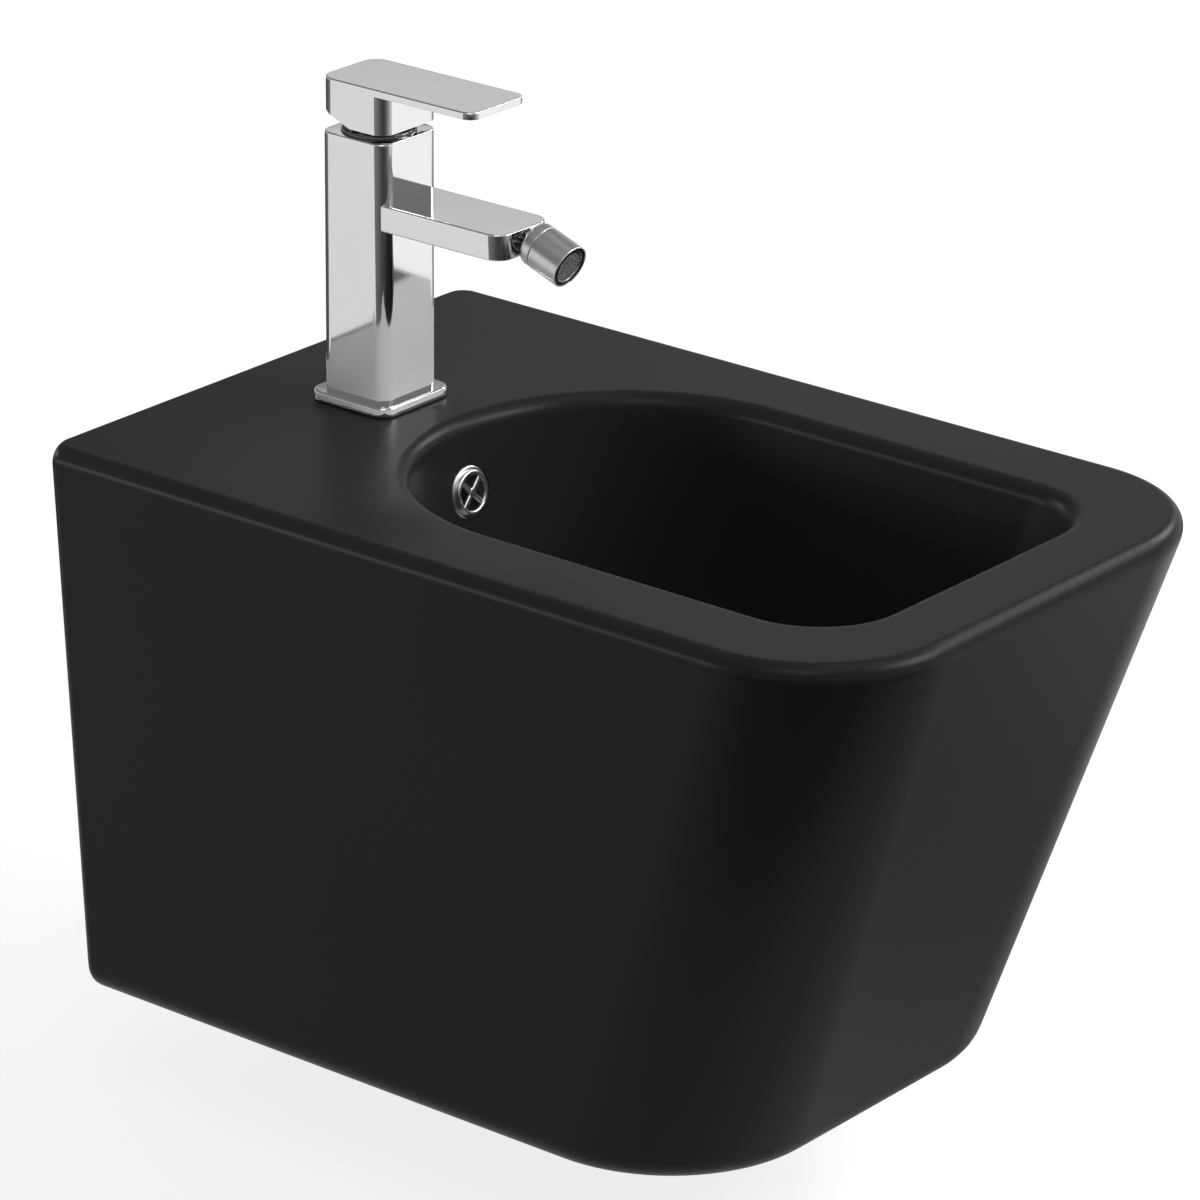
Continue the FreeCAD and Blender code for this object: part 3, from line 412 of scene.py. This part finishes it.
def rounded_loop(bm, corners, z, segments=12):
    """Flat closed loop of edges through (x, y, radius) corners, each rounded with a vertex bevel."""
    old_edges = set(bm.edges)
    old_faces = set(bm.faces)
    points = [bm.verts.new((x * MM, y * MM, z * MM)) for x, y, r in corners]
    bm.faces.new(points)
    for point, (x, y, r) in zip(points, corners):
        if r > 0:
            round_off(bm, [point], "VERTICES", r, segments)
    bmesh.ops.delete(bm, geom=[f for f in bm.faces if f not in old_faces], context="FACES_ONLY")
    return [e for e in bm.edges if e not in old_edges]


def rectangle(half_x, front, back, front_r=0, back_r=0):
    """Corners of an outline that is even about x = 0."""
    return [(half_x, back, back_r), (half_x, front, front_r),
            (-half_x, front, front_r), (-half_x, back, back_r)]


def square(half, r=0):
    return rectangle(half, -half, half, r, r)


def stack(bm, rings, segments=12):
    """Skin through loops given as (corners, z); returns the first and the last loop."""
    loops = [rounded_loop(bm, corners, z, segments) for corners, z in rings]
    for lower, upper in zip(loops, loops[1:]):
        bmesh.ops.bridge_loops(bm, edges=lower + upper)
    return loops[0], loops[-1]


def turned(corners, steps=72, segments=4):
    """Solid of revolution about Z from a closed profile of (radius, z, rounding) corners."""
    bm = bmesh.new()
    loop = rounded_loop(bm, corners, 0, segments)
    points = bm.verts[:]
    tip(bm, 90)
    bmesh.ops.spin(bm, geom=points + loop, axis=UP, cent=ORIGIN, angle=2 * math.pi, steps=steps,
                   use_merge=True)
    clean(bm)
    bmesh.ops.dissolve_degenerate(bm, dist=TINY, edges=bm.edges[:])
    bmesh.ops.delete(bm, geom=[e for e in bm.edges if not e.link_faces], context="EDGES")
    return bm


def disc(r, z0, z1, place=ORIGIN, steps=64):
    return shift(turned([(0, z0, 0), (r, z0, 0), (r, z1, 0), (0, z1, 0)], steps), place)


def upright(corners, z0, z1, edge=0.0, foot_edge=0.0, segments=10):
    """Prism on a rounded outline, with its top and foot edges eased."""
    bm = bmesh.new()
    lower, upper = stack(bm, [(corners, z0), (corners, z1)], segments)
    cap(bm, upper)
    cap(bm, lower)
    for z, r in ((z1, edge), (z0, foot_edge)):
        if r > 0:
            ring = [e for e in bm.edges if all(abs(v.co.z - z * MM) < TINY for v in e.verts)]
            round_off(bm, ring, "EDGES", r, EASE_STEPS)
    clean(bm)
    return bm


def slice_off(bm, point, normal):
    """Cut away what lies on the normal's side of a plane, and close the cut."""
    geometry = bm.verts[:] + bm.edges[:] + bm.faces[:]
    cut = bmesh.ops.bisect_plane(bm, geom=geometry, plane_co=point, plane_no=normal, clear_outer=True)
    cap(bm, [e for e in cut["geom_cut"] if isinstance(e, bmesh.types.BMEdge)])
    clean(bm)


def mesh_object(name, bm):
    mesh = bpy.data.meshes.new(name)
    bm.to_mesh(mesh)
    bm.free()
    thing = bpy.data.objects.new(name, mesh)
    bpy.context.scene.collection.objects.link(thing)
    return thing


def rework(thing, change):
    """Put a piece's mesh through a change that is made on a bmesh."""
    bm = bmesh.new()
    bm.from_mesh(thing.data)
    change(bm)
    bm.to_mesh(thing.data)
    bm.free()


def join_points(bm):
    bmesh.ops.remove_doubles(bm, verts=bm.verts[:], dist=CARVE_MERGE)


def split_faces(bm):
    """Divide faces into triangles, so that the next cut leaves no face with a hole in it."""
    bmesh.ops.triangulate(bm, faces=bm.faces[:])


def carve(thing, added=(), removed=()):
    """Join solids to a piece, then cut others out of it; the tool solids are used up."""
    for operation, solids in (("UNION", added), ("DIFFERENCE", removed)):
        for solid in solids:
            tool = mesh_object("tool", solid)
            modifier = thing.modifiers.new("carve", "BOOLEAN")
            modifier.operation = operation
            modifier.solver = "EXACT"
            modifier.object = tool
            bpy.context.view_layer.update()
            solved = thing.evaluated_get(bpy.context.evaluated_depsgraph_get())
            carved = bpy.data.meshes.new_from_object(solved)
            thing.modifiers.remove(modifier)
            old = thing.data
            thing.data = carved
            bpy.data.meshes.remove(old)
            bpy.data.objects.remove(tool)
            rework(thing, join_points)


def dress(thing, body, slot, *nodes, angle=35.0, weighted=True, finish=None):
    """Give a piece its finish, smooth shading and body; it stands for the named nodes."""
    thing.data.materials.clear()
    thing.data.materials.append(finish or FINISHES[slot])
    thing.data.shade_smooth()
    thing.data.set_sharp_from_angle(angle=math.radians(angle))
    if weighted:
        normals = thing.modifiers.new("even_normals", "WEIGHTED_NORMAL")
        normals.keep_sharp = True
    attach(thing, body)
    if nodes:
        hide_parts(*nodes)
    return thing


# Ceramic body
def acute_inset(depth, slope, r):
    """Distance in from a sharp top edge to a wall that runs inwards below it, with the edge rounded."""
    root = math.sqrt(1 + slope * slope)
    if depth < r * (1 + slope / root):
        return r * (root + slope) - math.sqrt(max(r * r - (r - depth) ** 2, 0))
    return slope * depth


def obtuse_inset(height, slope, r):
    """Distance in from the foot of a wall that runs outwards above it, with the foot rounded."""
    root = math.sqrt(1 + slope * slope)
    if height < r * (1 - slope / root):
        return r * (root - slope) - math.sqrt(max(r * r - (r - height) ** 2, 0))
    return -slope * height


def rounded_depths(r, steps, reach=90):
    """Depths that follow a rounded edge evenly, up to a turn of reach degrees."""
    return [r * (1 - math.cos(math.radians(reach) * k / steps)) for k in range(steps + 1)]


def skirt_ring(z):
    """Outline of the outside at height z."""
    share = (DECK - z) / (DECK - FOOT)
    insets = []
    for lean in (SIDE_LEAN, FRONT_LEAN):
        slope = lean / (DECK - FOOT)
        if share < 0.5:
            insets.append(acute_inset(DECK - z, slope, TOP_EDGE_R))
        else:
            insets.append(lean + obtuse_inset(z - FOOT, slope, FOOT_EDGE_R))
    side, front = insets
    eased = (side + front - (SIDE_LEAN + FRONT_LEAN) * share) / 2
    corner = TOP_CORNER_R + (FOOT_CORNER_R - TOP_CORNER_R) * share - eased
    return rectangle(HALF_WIDTH - side, -(LENGTH - front), 0, corner, REAR_CORNER_R), z


def hollow_ring(z):
    """Outline of the space inside the walls at height z."""
    share = (DECK - z) / (DECK - FOOT)
    half = HALF_WIDTH - SIDE_LEAN * share - WALL
    front = LENGTH - FRONT_LEAN * share - WALL
    corner = TOP_CORNER_R + (FOOT_CORNER_R - TOP_CORNER_R) * share - WALL
    return rectangle(half, -front, -REAR_WALL, corner), z


def bowl_ring(depth, grow, full_depth, rim_r, floor_r):
    """Outline of the bowl at a depth: a half circle at the back and rounded corners in front."""
    insets = []
    eased = []
    for lean in BOWL_LEANS:
        slope = lean / BOWL_DEPTH
        if depth < full_depth / 2:
            inset = -obtuse_inset(depth, slope, rim_r)
        else:
            inset = slope * full_depth + obtuse_inset(full_depth - depth, slope, floor_r)
        insets.append(inset)
        eased.append(inset - slope * depth)
    side, back, front = insets
    half = BOWL_HALF + grow - side
    corner = max(BOWL_CORNER_R + grow - (eased[0] + eased[2]) / 2, 1.0)
    front_y = -(BOWL_FRONT + grow - front)
    back_y = -(BOWL_BACK - grow + back)
    return rectangle(half, front_y, back_y, corner, half * BOWL_BACK_ROUND), DECK - depth


def ceramic_shell():
    bm = bmesh.new()
    top = [DECK - d for d in rounded_depths(TOP_EDGE_R, 10, TOP_EDGE_TURN)]
    foot = [FOOT + h for h in rounded_depths(FOOT_EDGE_R, 8)]
    outside = [skirt_ring(z) for z in top + SKIRT_HEIGHTS + foot[::-1]]
    deck_edge, sole_edge = stack(bm, outside, CORNER_STEPS)

    rim = rounded_depths(RIM_R, 8)
    floor = [BOWL_DEPTH - h for h in rounded_depths(BOWL_FLOOR_R, 12)][::-1]
    inside = [bowl_ring(d, 0, BOWL_DEPTH, RIM_R, BOWL_FLOOR_R) for d in rim + BOWL_MIDDLES + floor]
    rim_edge, floor_edge = stack(bm, inside, CORNER_STEPS)
    cap(bm, floor_edge)
    fill_between(bm, deck_edge, rim_edge, 1)

    # Underside: lip, walls and roof of the hollow, and the bowl's outer skin
    lip_z = FOOT + LIP_T
    roof_z = DECK - DECK_T
    lip_front = -(LENGTH - FRONT_LEAN - LIP_W)
    lip = rectangle(HALF_WIDTH - SIDE_LEAN - LIP_W, lip_front, -LIP_W, FOOT_CORNER_R - LIP_W, WALL)
    mouth, lip_top = stack(bm, [(lip, FOOT), (lip, lip_z)], CORNER_STEPS)
    fill_between(bm, sole_edge, mouth, -1)
    walls = [hollow_ring(z) for z in (lip_z, HOLLOW_MIDDLE, roof_z)]
    walls_foot, roof_edge = stack(bm, walls, CORNER_STEPS)
    fill_between(bm, lip_top, walls_foot, 1)
    skin_depth = BOWL_DEPTH + FLOOR_T
    skin_r = BOWL_FLOOR_R + WALL
    skin_depths = [DECK_T, SKIN_MIDDLE] + [skin_depth - h for h in rounded_depths(skin_r, 10)][::-1]
    skin = [bowl_ring(d, WALL, skin_depth, 0, skin_r) for d in skin_depths]
    skin_top, skin_foot = stack(bm, skin, CORNER_STEPS)
    fill_between(bm, roof_edge, skin_top, -1)
    cap(bm, skin_foot)
    clean(bm)
    return mesh_object("glazed_body", bm)


def bolt_disc(r, y0, y1, x):
    """Cylinder along Y at bolt height."""
    return shift(tip(disc(r, y0, y1, steps=48), -90), (x, 0, 0))


def overflow_place(bm):
    """Move a piece made on the origin, facing +Z, to the bowl's leaning back wall."""
    tip(bm, 90 - math.degrees(math.atan(BOWL_BACK_SLOPE)))
    return shift(bm, (0, -(BOWL_BACK + BOWL_BACK_SLOPE * OVERFLOW_DROP), DECK - OVERFLOW_DROP))


def overflow_chute(foot):
    """Casing behind the bowl, which leans with its back wall, from the overflow down to foot."""
    rings = []
    for z in (foot, DECK - OVERFLOW_DROP + CHUTE_RISE):
        wall = -(BOWL_BACK + BOWL_BACK_SLOPE * (DECK - z))
        rings.append((rectangle(DUCT_HALF, wall + WALL / 2, wall + CHUTE_OUT), z))
    bm = bmesh.new()
    for edge in stack(bm, rings):
        cap(bm, edge)
    clean(bm)
    return bm


def make_ceramic():
    body = ceramic_shell()
    floor = DECK - BOWL_DEPTH
    duct_foot = floor - DUCT_DROP
    drain_axis = (0, DRAIN_Y, 0)
    drain_boss = disc(DRAIN_BOSS_R, floor - 43, floor - 4, drain_axis)
    duct = upright(rectangle(DUCT_HALF, DUCT_FRONT, DUCT_BACK), duct_foot, floor - 6)
    bosses = [drain_boss, duct, overflow_chute(duct_foot)]
    bosses += [bolt_disc(BOLT_BOSS_R, -30, -6, x) for x in BOLTS_X]

    # A shallow cone in the bowl's floor, the waste's seat and its bore
    drain = turned([(0, floor + 2, 0), (DRAIN_CONE_R, floor + 2, 0), (DRAIN_SEAT_R, WASTE_SEAT, 0),
                    (DRAIN_SEAT_R, WASTE_SEAT - 5, 0), (DRAIN_BORE_R, WASTE_SEAT - 5, 0),
                    (DRAIN_BORE_R, floor - 50, 0), (0, floor - 50, 0)])
    tap_hole = disc(TAP_HOLE_R, DECK - 20, DECK + 2, (0, TAP.y, 0))
    pipe_outline = rectangle(PIPE_HALF, -PIPE_HEIGHT, 0, PIPE_CORNER_R, PIPE_CORNER_R)
    pipe_opening = shift(tip(upright(pipe_outline, -4, 20, segments=8), 90), (0, 2, PIPE_TOP))
    overflow_seat = overflow_place(disc(OVERFLOW_SEAT_R, -OVERFLOW_SEAT_T, 12))
    overflow_bore = overflow_place(disc(OVERFLOW_BORE_R, -15, 0))
    cuts = [shift(drain, drain_axis), tap_hole, pipe_opening, overflow_seat, overflow_bore]
    cuts += [bolt_disc(BOLT_BORE_R, -34, 3, x) for x in BOLTS_X]
    carve(body, bosses, cuts)
    dress(body, "bidet", "ceramic", "ceramic_body", angle=28.0)


# Tap
def make_tap():
    column = mesh_object("tap_casting", upright(square(COLUMN / 2, 8), BASE_TOP, COLUMN_TOP, 0.9))
    spout_outline = rectangle(SPOUT_W / 2, -SPOUT_REACH, 0, 10)
    spout = upright(spout_outline, SPOUT_TOP - SPOUT_T, SPOUT_TOP, 0.8, 0.8)
    core = upright(square(CORE_HALF, 4), 0, CORE_TOP, segments=4)
    cartridge_room = disc(CARTRIDGE_R, CARTRIDGE_FLOOR, 160)
    nut_room = disc(NUT_R, NUT_FLOOR, 160)
    mouth_place = (0, -SPOUT_REACH + NECK_BORE_DEPTH, SPOUT_TOP - SPOUT_T / 2)
    mouth = shift(tip(disc(NECK_BORE_R, 0, 12), 90), mouth_place)
    carve(column, [spout], [core, cartridge_room, nut_room])
    rework(column, split_faces)
    carve(column, [], [mouth])
    column.data.transform(Matrix.Translation(TAP * MM))
    dress(column, "bidet", "chrome", "faucet_body", angle=30.0)

    plate = upright(square(BASE / 2, 9.2), 1, BASE_TOP, 1.5, 0.2)
    plate = mesh_object("tap_base", shift(plate, TAP))
    carve(plate, [], [disc(16.8, -5, 20, TAP)])
    dress(plate, "bidet", "chrome", "base_plate", angle=40.0)

    ring_top = COLUMN_TOP + 3.8
    ring = turned([(14.25, COLUMN_TOP, 0), (20.5, COLUMN_TOP, 0), (20.5, COLUMN_TOP + 1.6, 1.0),
                   (16.2, ring_top, 1.2), (14.25, ring_top, 0.4)], 96)
    # The dome ring's dark finish is painted shade, standing in for the shaded gap under the lever block
    dress(mesh_object("dome_ring", shift(ring, TAP)), "bidet", "dark_metal", "cover_ring", angle=50.0)


def make_lever():
    half = COLUMN / 2
    plate = upright(rectangle(half, -LEVER_REACH, half, 7, 10), LEVER_UNDER, LEVER_TOP, 0.8, 0.3)
    lever = mesh_object("lever_plate", plate)

    # The block's foot rises towards the back
    block = upright(rectangle(half, -half, half, 8, 10), LEVER_FOOT, LEVER_UNDER + 1)
    slice_off(block, Vector((0, half - SLANT_RUN, LEVER_FOOT)) * MM, Vector((0, SLANT_RISE, -SLANT_RUN)))
    room = upright(square(LEVER_ROOM_HALF, 4), LEVER_FOOT - 2, LEVER_UNDER - 2, segments=4)
    button_hole = shift(tip(disc(3.2, 0, 6), -90), (0, half - 5, LEVER_TOP - 10))
    carve(lever, [block], [room, button_hole])
    socket = disc(SOCKET_R, SOCKET_FOOT, LEVER_UNDER - 1)
    stem_hole = upright(square(STEM_HOLE_HALF), 160, STEM_HOLE_TOP)
    carve(lever, [socket], [stem_hole])
    lever.data.transform(Matrix.Translation(TAP * MM))
    dress(lever, "lever", "chrome", "lever_handle", angle=30.0)


def on_aerator(bm):
    """Move a piece made along +Z from the ball's centre to the tilted aerator."""
    return shift(tip(bm, 90 + TILT), BALL)


def make_aerator():
    neck = turned([(0, -16.8, 0), (6.5, -16.8, 0.3), (6.5, -7.8, 0), (6.3, -7.8, 0), (6.3, -7.35, 0.15),
                   (5.2, -7.3, 0), (5.2, -6.95, 0), (5.85, -6.9, 0.15), (5.85, -6.45, 0.15), (4.3, -6.4, 0),
                   (4.3, -5.0, 0), (0, -5.0, 0)], 64, 2)
    ball = bmesh.new()
    bmesh.ops.create_uvsphere(ball, u_segments=64, v_segments=32, radius=BALL_R * MM)
    neck_thing = mesh_object("ball_neck", neck)
    carve(neck_thing, [ball], [disc(3.2, -18, 12)])
    neck_thing.data.transform(Matrix.Translation(BALL * MM) @ Matrix.Rotation(math.pi / 2, 4, "X"))
    dress(neck_thing, "bidet", "dark_metal", "ball_stem", angle=35.0)

    collar = turned([(8.1, -3.2, 0.3), (10.3, -3.2, 0.6), (12.25, -1.2, 1.0), (12.25, 3.6, 0.35),
                     (11.3, 3.6, 0), (11.3, 0.8, 0), (10.1, 0.8, 0), (10.1, 0.2, 0), (8.6, -0.3, 0),
                     (8.3, -2.0, 0)], 96)
    dress(mesh_object("swivel_back", on_aerator(collar)), "aerator", "chrome", "swivel_collar", angle=40.0,
          finish=SATIN_CHROME)
    shell = turned([(10.1, 0.9, 0), (11.2, 0.9, 0.2), (11.2, 4.0, 0), (12.3, 4.0, 0.35), (12.3, 23.5, 0.45),
                    (11.5, 23.5, 0.2), (11.5, 20.7, 0), (10.1, 20.7, 0)], 96)
    dress(mesh_object("swivel_front", on_aerator(shell)), "aerator", "chrome", "aerator_shell", angle=40.0,
          finish=SATIN_CHROME)
    lip = turned([(9.95, 20.7, 0.1), (11.45, 20.7, 0.1), (11.45, 22.3, 0.4), (9.95, 22.3, 0.4)], 96)
    dress(mesh_object("mouth_seal", on_aerator(lip)), "aerator", "dark_plastic", "aerator_seal", angle=40.0)

    screen = bmesh.new()
    bmesh.ops.create_grid(screen, x_segments=SCREEN_CELLS, y_segments=SCREEN_CELLS, size=SCREEN_HALF * MM)
    outside = [f for f in screen.faces if f.calc_center_median().length > SCREEN_R * MM]
    bmesh.ops.delete(screen, geom=outside, context="FACES")
    bmesh.ops.wireframe(screen, faces=screen.faces[:], thickness=SCREEN_WIRE * MM, use_replace=True,
                        use_boundary=True, use_even_offset=True)
    shift(screen, (0, 0, SCREEN_REACH))
    dress(mesh_object("mouth_screen", on_aerator(screen)), "aerator", "steel", "aerator_mesh", angle=40.0,
          weighted=False)
    hoop = turned([(9.1, 21.75, 0.1), (9.9, 21.75, 0.1), (9.9, 23.0, 0.3), (9.1, 23.0, 0.3)], 80)
    dress(mesh_object("mouth_hoop", on_aerator(hoop)), "aerator", "steel", angle=40.0, finish=SATIN_CHROME)


# Overflow and waste
def make_overflow():
    flange = turned([(10.25, -13.4, 0), (11.45, -13.4, 0.2), (11.45, -1.4, 0), (15, -1.4, 0.2),
                     (15, 1.0, 1.7), (10.25, 1.0, 0.3)], 80)
    dress(mesh_object("overflow_collar", overflow_place(flange)), "bidet", "chrome", "overflow_ring",
          angle=40.0, finish=SATIN_CHROME)

    rim = turned([(9.75, 1.0, 0.2), (12.65, 1.0, 0.2), (12.65, 3.2, 1.1), (9.75, 3.2, 1.1)], 80)
    guard = mesh_object("overflow_guard", rim)
    hub = turned([(0, 1.0, 0), (2.8, 1.0, 0), (2.8, 2.7, 0.7), (0, 2.7, 0)], 40)
    bars = []
    for degrees in (-45, 45, 135, 225):
        bar = upright(rectangle(1.4, 0, 10.6), 1.0, 2.6, 0.7)
        bars.append(turn(bar, degrees, "Z"))
    carve(guard, [hub] + bars)
    rework(guard, overflow_place)
    dress(guard, "bidet", "chrome", "overflow_grille", angle=35.0, finish=SATIN_CHROME)


def make_waste():
    place = (0, DRAIN_Y, WASTE_SEAT)
    tube = turned([(17.5, -88, 0.3), (20, -88, 0.6), (20, -54, 0), (20.95, -54, 0.3), (20.95, -3, 0),
                   (32, -3, 0.3), (32, 0, 0.9), (17.5, 0, 1.2)], 80)
    body = mesh_object("waste_tube", shift(tube, place))
    window = upright(rectangle(7, -25, 25), -26, -12)
    carve(body, [], [shift(window, place)])
    dress(body, "bidet", "chrome", "waste_body", angle=40.0)
    plug = turned([(0, 3.0, 0), (8, 3.0, 0.4), (8, 9.3, 0), (23, 9.3, 0), (23, 11.3, 0), (26, 11.3, 0),
                   (26, 9.3, 0), (29, 9.3, 0.3), (29, 13.2, 0.9), (24, 14.2, 6), (0, 15.6, 0)], 96, 6)
    dress(mesh_object("plug_cap", shift(plug, place)), "plug", "chrome", "waste_plug", angle=40.0)


def make_spring():
    """Coil between the guide and the plug."""
    foot = WASTE_SEAT - SPRING_DROP
    bm = bmesh.new()
    bmesh.ops.create_circle(bm, segments=12, radius=SPRING_WIRE_R * MM)
    tip(bm, 90)
    shift(bm, (SPRING_R, 0, SPRING_WIRE_R))
    steps = SPRING_TURNS * SPRING_TURN_STEPS
    rise = (SPRING_LENGTH - 2 * SPRING_WIRE_R) / steps
    bmesh.ops.spin(bm, geom=bm.verts[:] + bm.edges[:], axis=UP, cent=ORIGIN, dvec=(0, 0, rise * MM),
                   angle=2 * math.pi * SPRING_TURNS, steps=steps)
    bmesh.ops.holes_fill(bm, edges=[e for e in bm.edges if e.is_boundary])
    clean(bm)
    coil = mesh_object("plug_coil", shift(bm, (0, DRAIN_Y, foot)))
    dress(coil, "bidet", "steel", "plug_spring", angle=50.0, weighted=False)
    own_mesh(coil)


def finish_frame_nodes():
    """Give every node that still shows its finish."""
    slots = {entry["node"]: entry["material_slot"] for entry in frame["record"]["subparts"]}
    for name, thing in frame["nodes"].items():
        thing.data.materials.clear()
        thing.data.materials.append(FINISHES[slots[name]])


# Studio
def place_camera():
    azimuth, elevation, roll = (math.radians(v) for v in (VIEW_AZIMUTH, VIEW_ELEVATION, VIEW_ROLL))
    flat = math.cos(elevation)
    forward = Vector((-math.sin(azimuth) * flat, math.cos(azimuth) * flat, -math.sin(elevation)))
    level = Vector((math.cos(azimuth), math.sin(azimuth), 0))
    rise = level.cross(forward)
    right = level * math.cos(roll) + rise * math.sin(roll)
    up = rise * math.cos(roll) - level * math.sin(roll)
    eye = AIM - right * (AIM_RIGHT_PX / PX_PER_MM) + up * (AIM_BELOW_PX / PX_PER_MM)
    eye -= forward * (FOCAL_PX / PX_PER_MM)
    data = bpy.data.cameras.new("camera")
    data.sensor_width = SENSOR_WIDTH
    data.lens = FOCAL_PX * SENSOR_WIDTH / FRAME_PX
    data.clip_end = FAR_CLIP
    camera = bpy.data.objects.new("camera", data)
    camera.matrix_world = Matrix.Translation(eye * MM) @ Matrix((right, up, -forward)).transposed().to_4x4()
    bpy.context.scene.collection.objects.link(camera)
    bpy.context.scene.camera = camera


def add_lamp(name, place, target, width, height, watts):
    data = bpy.data.lights.new(name, "AREA")
    data.shape = "RECTANGLE"
    data.size = width
    data.size_y = height
    data.energy = watts
    lamp = bpy.data.objects.new(name, data)
    lamp.location = place
    lamp.rotation_euler = (Vector(target) - Vector(place)).to_track_quat("-Z", "Y").to_euler()
    bpy.context.scene.collection.objects.link(lamp)
    return lamp


def add_lamps():
    """Hang the lamps; those behind light the glaze alone, so that the tap throws no streak on the deck."""
    for name, lamp in LAMPS.items():
        add_lamp(name, *lamp)
    glazed = bpy.data.collections.new("lit_from_behind")
    glazed.objects.link(bpy.data.objects["glazed_body"])
    for name, lamp in REAR_LAMPS.items():
        add_lamp(name, *lamp).light_linking.receiver_collection = glazed


def paths_to_white(nodes, wall):
    """How far a ray meets the white surroundings: seen directly, through glass, or mirrored by wall."""
    camera = nodes.node("ShaderNodeLightPath", "Is Camera Ray")
    through = nodes.node("ShaderNodeLightPath", "Is Transmission Ray")
    mirrored = nodes.node("ShaderNodeLightPath", "Is Glossy Ray")
    return camera + through + mirrored * wall


def make_room():
    """White wall round the horizon under a dim ceiling."""
    world = bpy.data.worlds.new("studio")
    bpy.context.scene.world = world
    room = Nodes(world, "Background")
    shown = paths_to_white(room, 1.3 - room.axis("Z", "Generated") * 10.0)
    room.set(Color=room.shade((0.18, 0.18, 0.182), WHITE, shown))


def make_floor():
    """Pale floor, whiter with distance, with a painted shade before the front that only mirrored rays see."""
    grid = bmesh.new()
    bmesh.ops.create_grid(grid, x_segments=1, y_segments=1, size=FLOOR_HALF)
    floor = mesh_object("floor", shift(grid, (0, 0, FLOOR_Z)))
    finish = Finish("pale_floor")
    x = finish.axis("X")
    y = finish.axis("Y")
    along = x - 0.32
    out = y + 0.62
    # Painted shade on the floor near the object's front, seen only by mirrored rays
    painted_shade_near = 1.0 - (along * along + out * out) * 5.0
    far = (x * x + y * y) * 0.04
    shown = paths_to_white(finish, 0.7 - painted_shade_near.at_least(0.0) * 0.64)
    white = 0.83 + far.at_most(0.17)
    finish.set(Base_Color=(0.24, 0.24, 0.24, 1), Roughness=0.9, Emission_Strength=1.0,
               Emission_Color=finish.shade(BLACK, WHITE, shown * white))
    floor.data.materials.append(finish.material)


def lay_card(name, finish, half_x, half_y, degrees, place):
    """Flat card that only mirrored rays meet."""
    card = bmesh.new()
    bmesh.ops.create_grid(card, x_segments=1, y_segments=1, size=1.0)
    bmesh.ops.scale(card, vec=(half_x * MM, half_y * MM, 1), verts=card.verts[:])
    turn(card, degrees, "Z")
    thing = mesh_object(name, shift(card, place))
    thing.data.materials.append(finish.material)
    thing.visible_camera = False
    thing.visible_diffuse = False
    thing.visible_shadow = False


def lay_cards():
    # Dark cards on the floor before and behind the object, paler at the sides, seen only by mirrored rays:
    # painted dark reflections that its rounded corners mirror
    dark_reflection_card = Finish("painted_reflection_dark_card")
    across = dark_reflection_card.axis("X") * 0.39 - dark_reflection_card.axis("Y") * 0.31 - 0.026
    dark_reflection_card.set(Base_Color=dark_reflection_card.shade((0.03, 0.03, 0.03), (0.6, 0.6, 0.6), across * across), Roughness=0.95)
    lay_card("card_before", dark_reflection_card, *CARD_HALF, CARD_TURN, (-850, -1135, CARD_Z))
    lay_card("card_behind", dark_reflection_card, *CARD_HALF, CARD_TURN, (850, 965, CARD_Z))

    # Pale card over the deck, open from below and round the tap's base, seen only by mirrored rays: a painted
    # pale reflection that lightens the foot of the tap
    pale_reflection_card = Finish("painted_reflection_pale_card")
    from_below = pale_reflection_card.node("ShaderNodeNewGeometry", "Backfacing")
    x = pale_reflection_card.axis("X")
    y = pale_reflection_card.axis("Y") - TAP.y * MM
    clear = abs(x).at_least(abs(y)) > (BASE / 2 + 4) * MM
    pale_reflection_card.set(Base_Color=(0.5, 0.5, 0.5, 1), Roughness=0.9, Alpha=(1.0 - from_below) * clear)
    lay_card("card_over_deck", pale_reflection_card, 165, 122, 0, (0, -127, DECK + 0.5))


finish_frame_nodes()
make_ceramic()
make_tap()
make_lever()
make_aerator()
make_overflow()
make_waste()
make_spring()
place_camera()
add_lamps()
make_room()
make_floor()
lay_cards()
bpy.context.scene.view_settings.view_transform = "Standard"
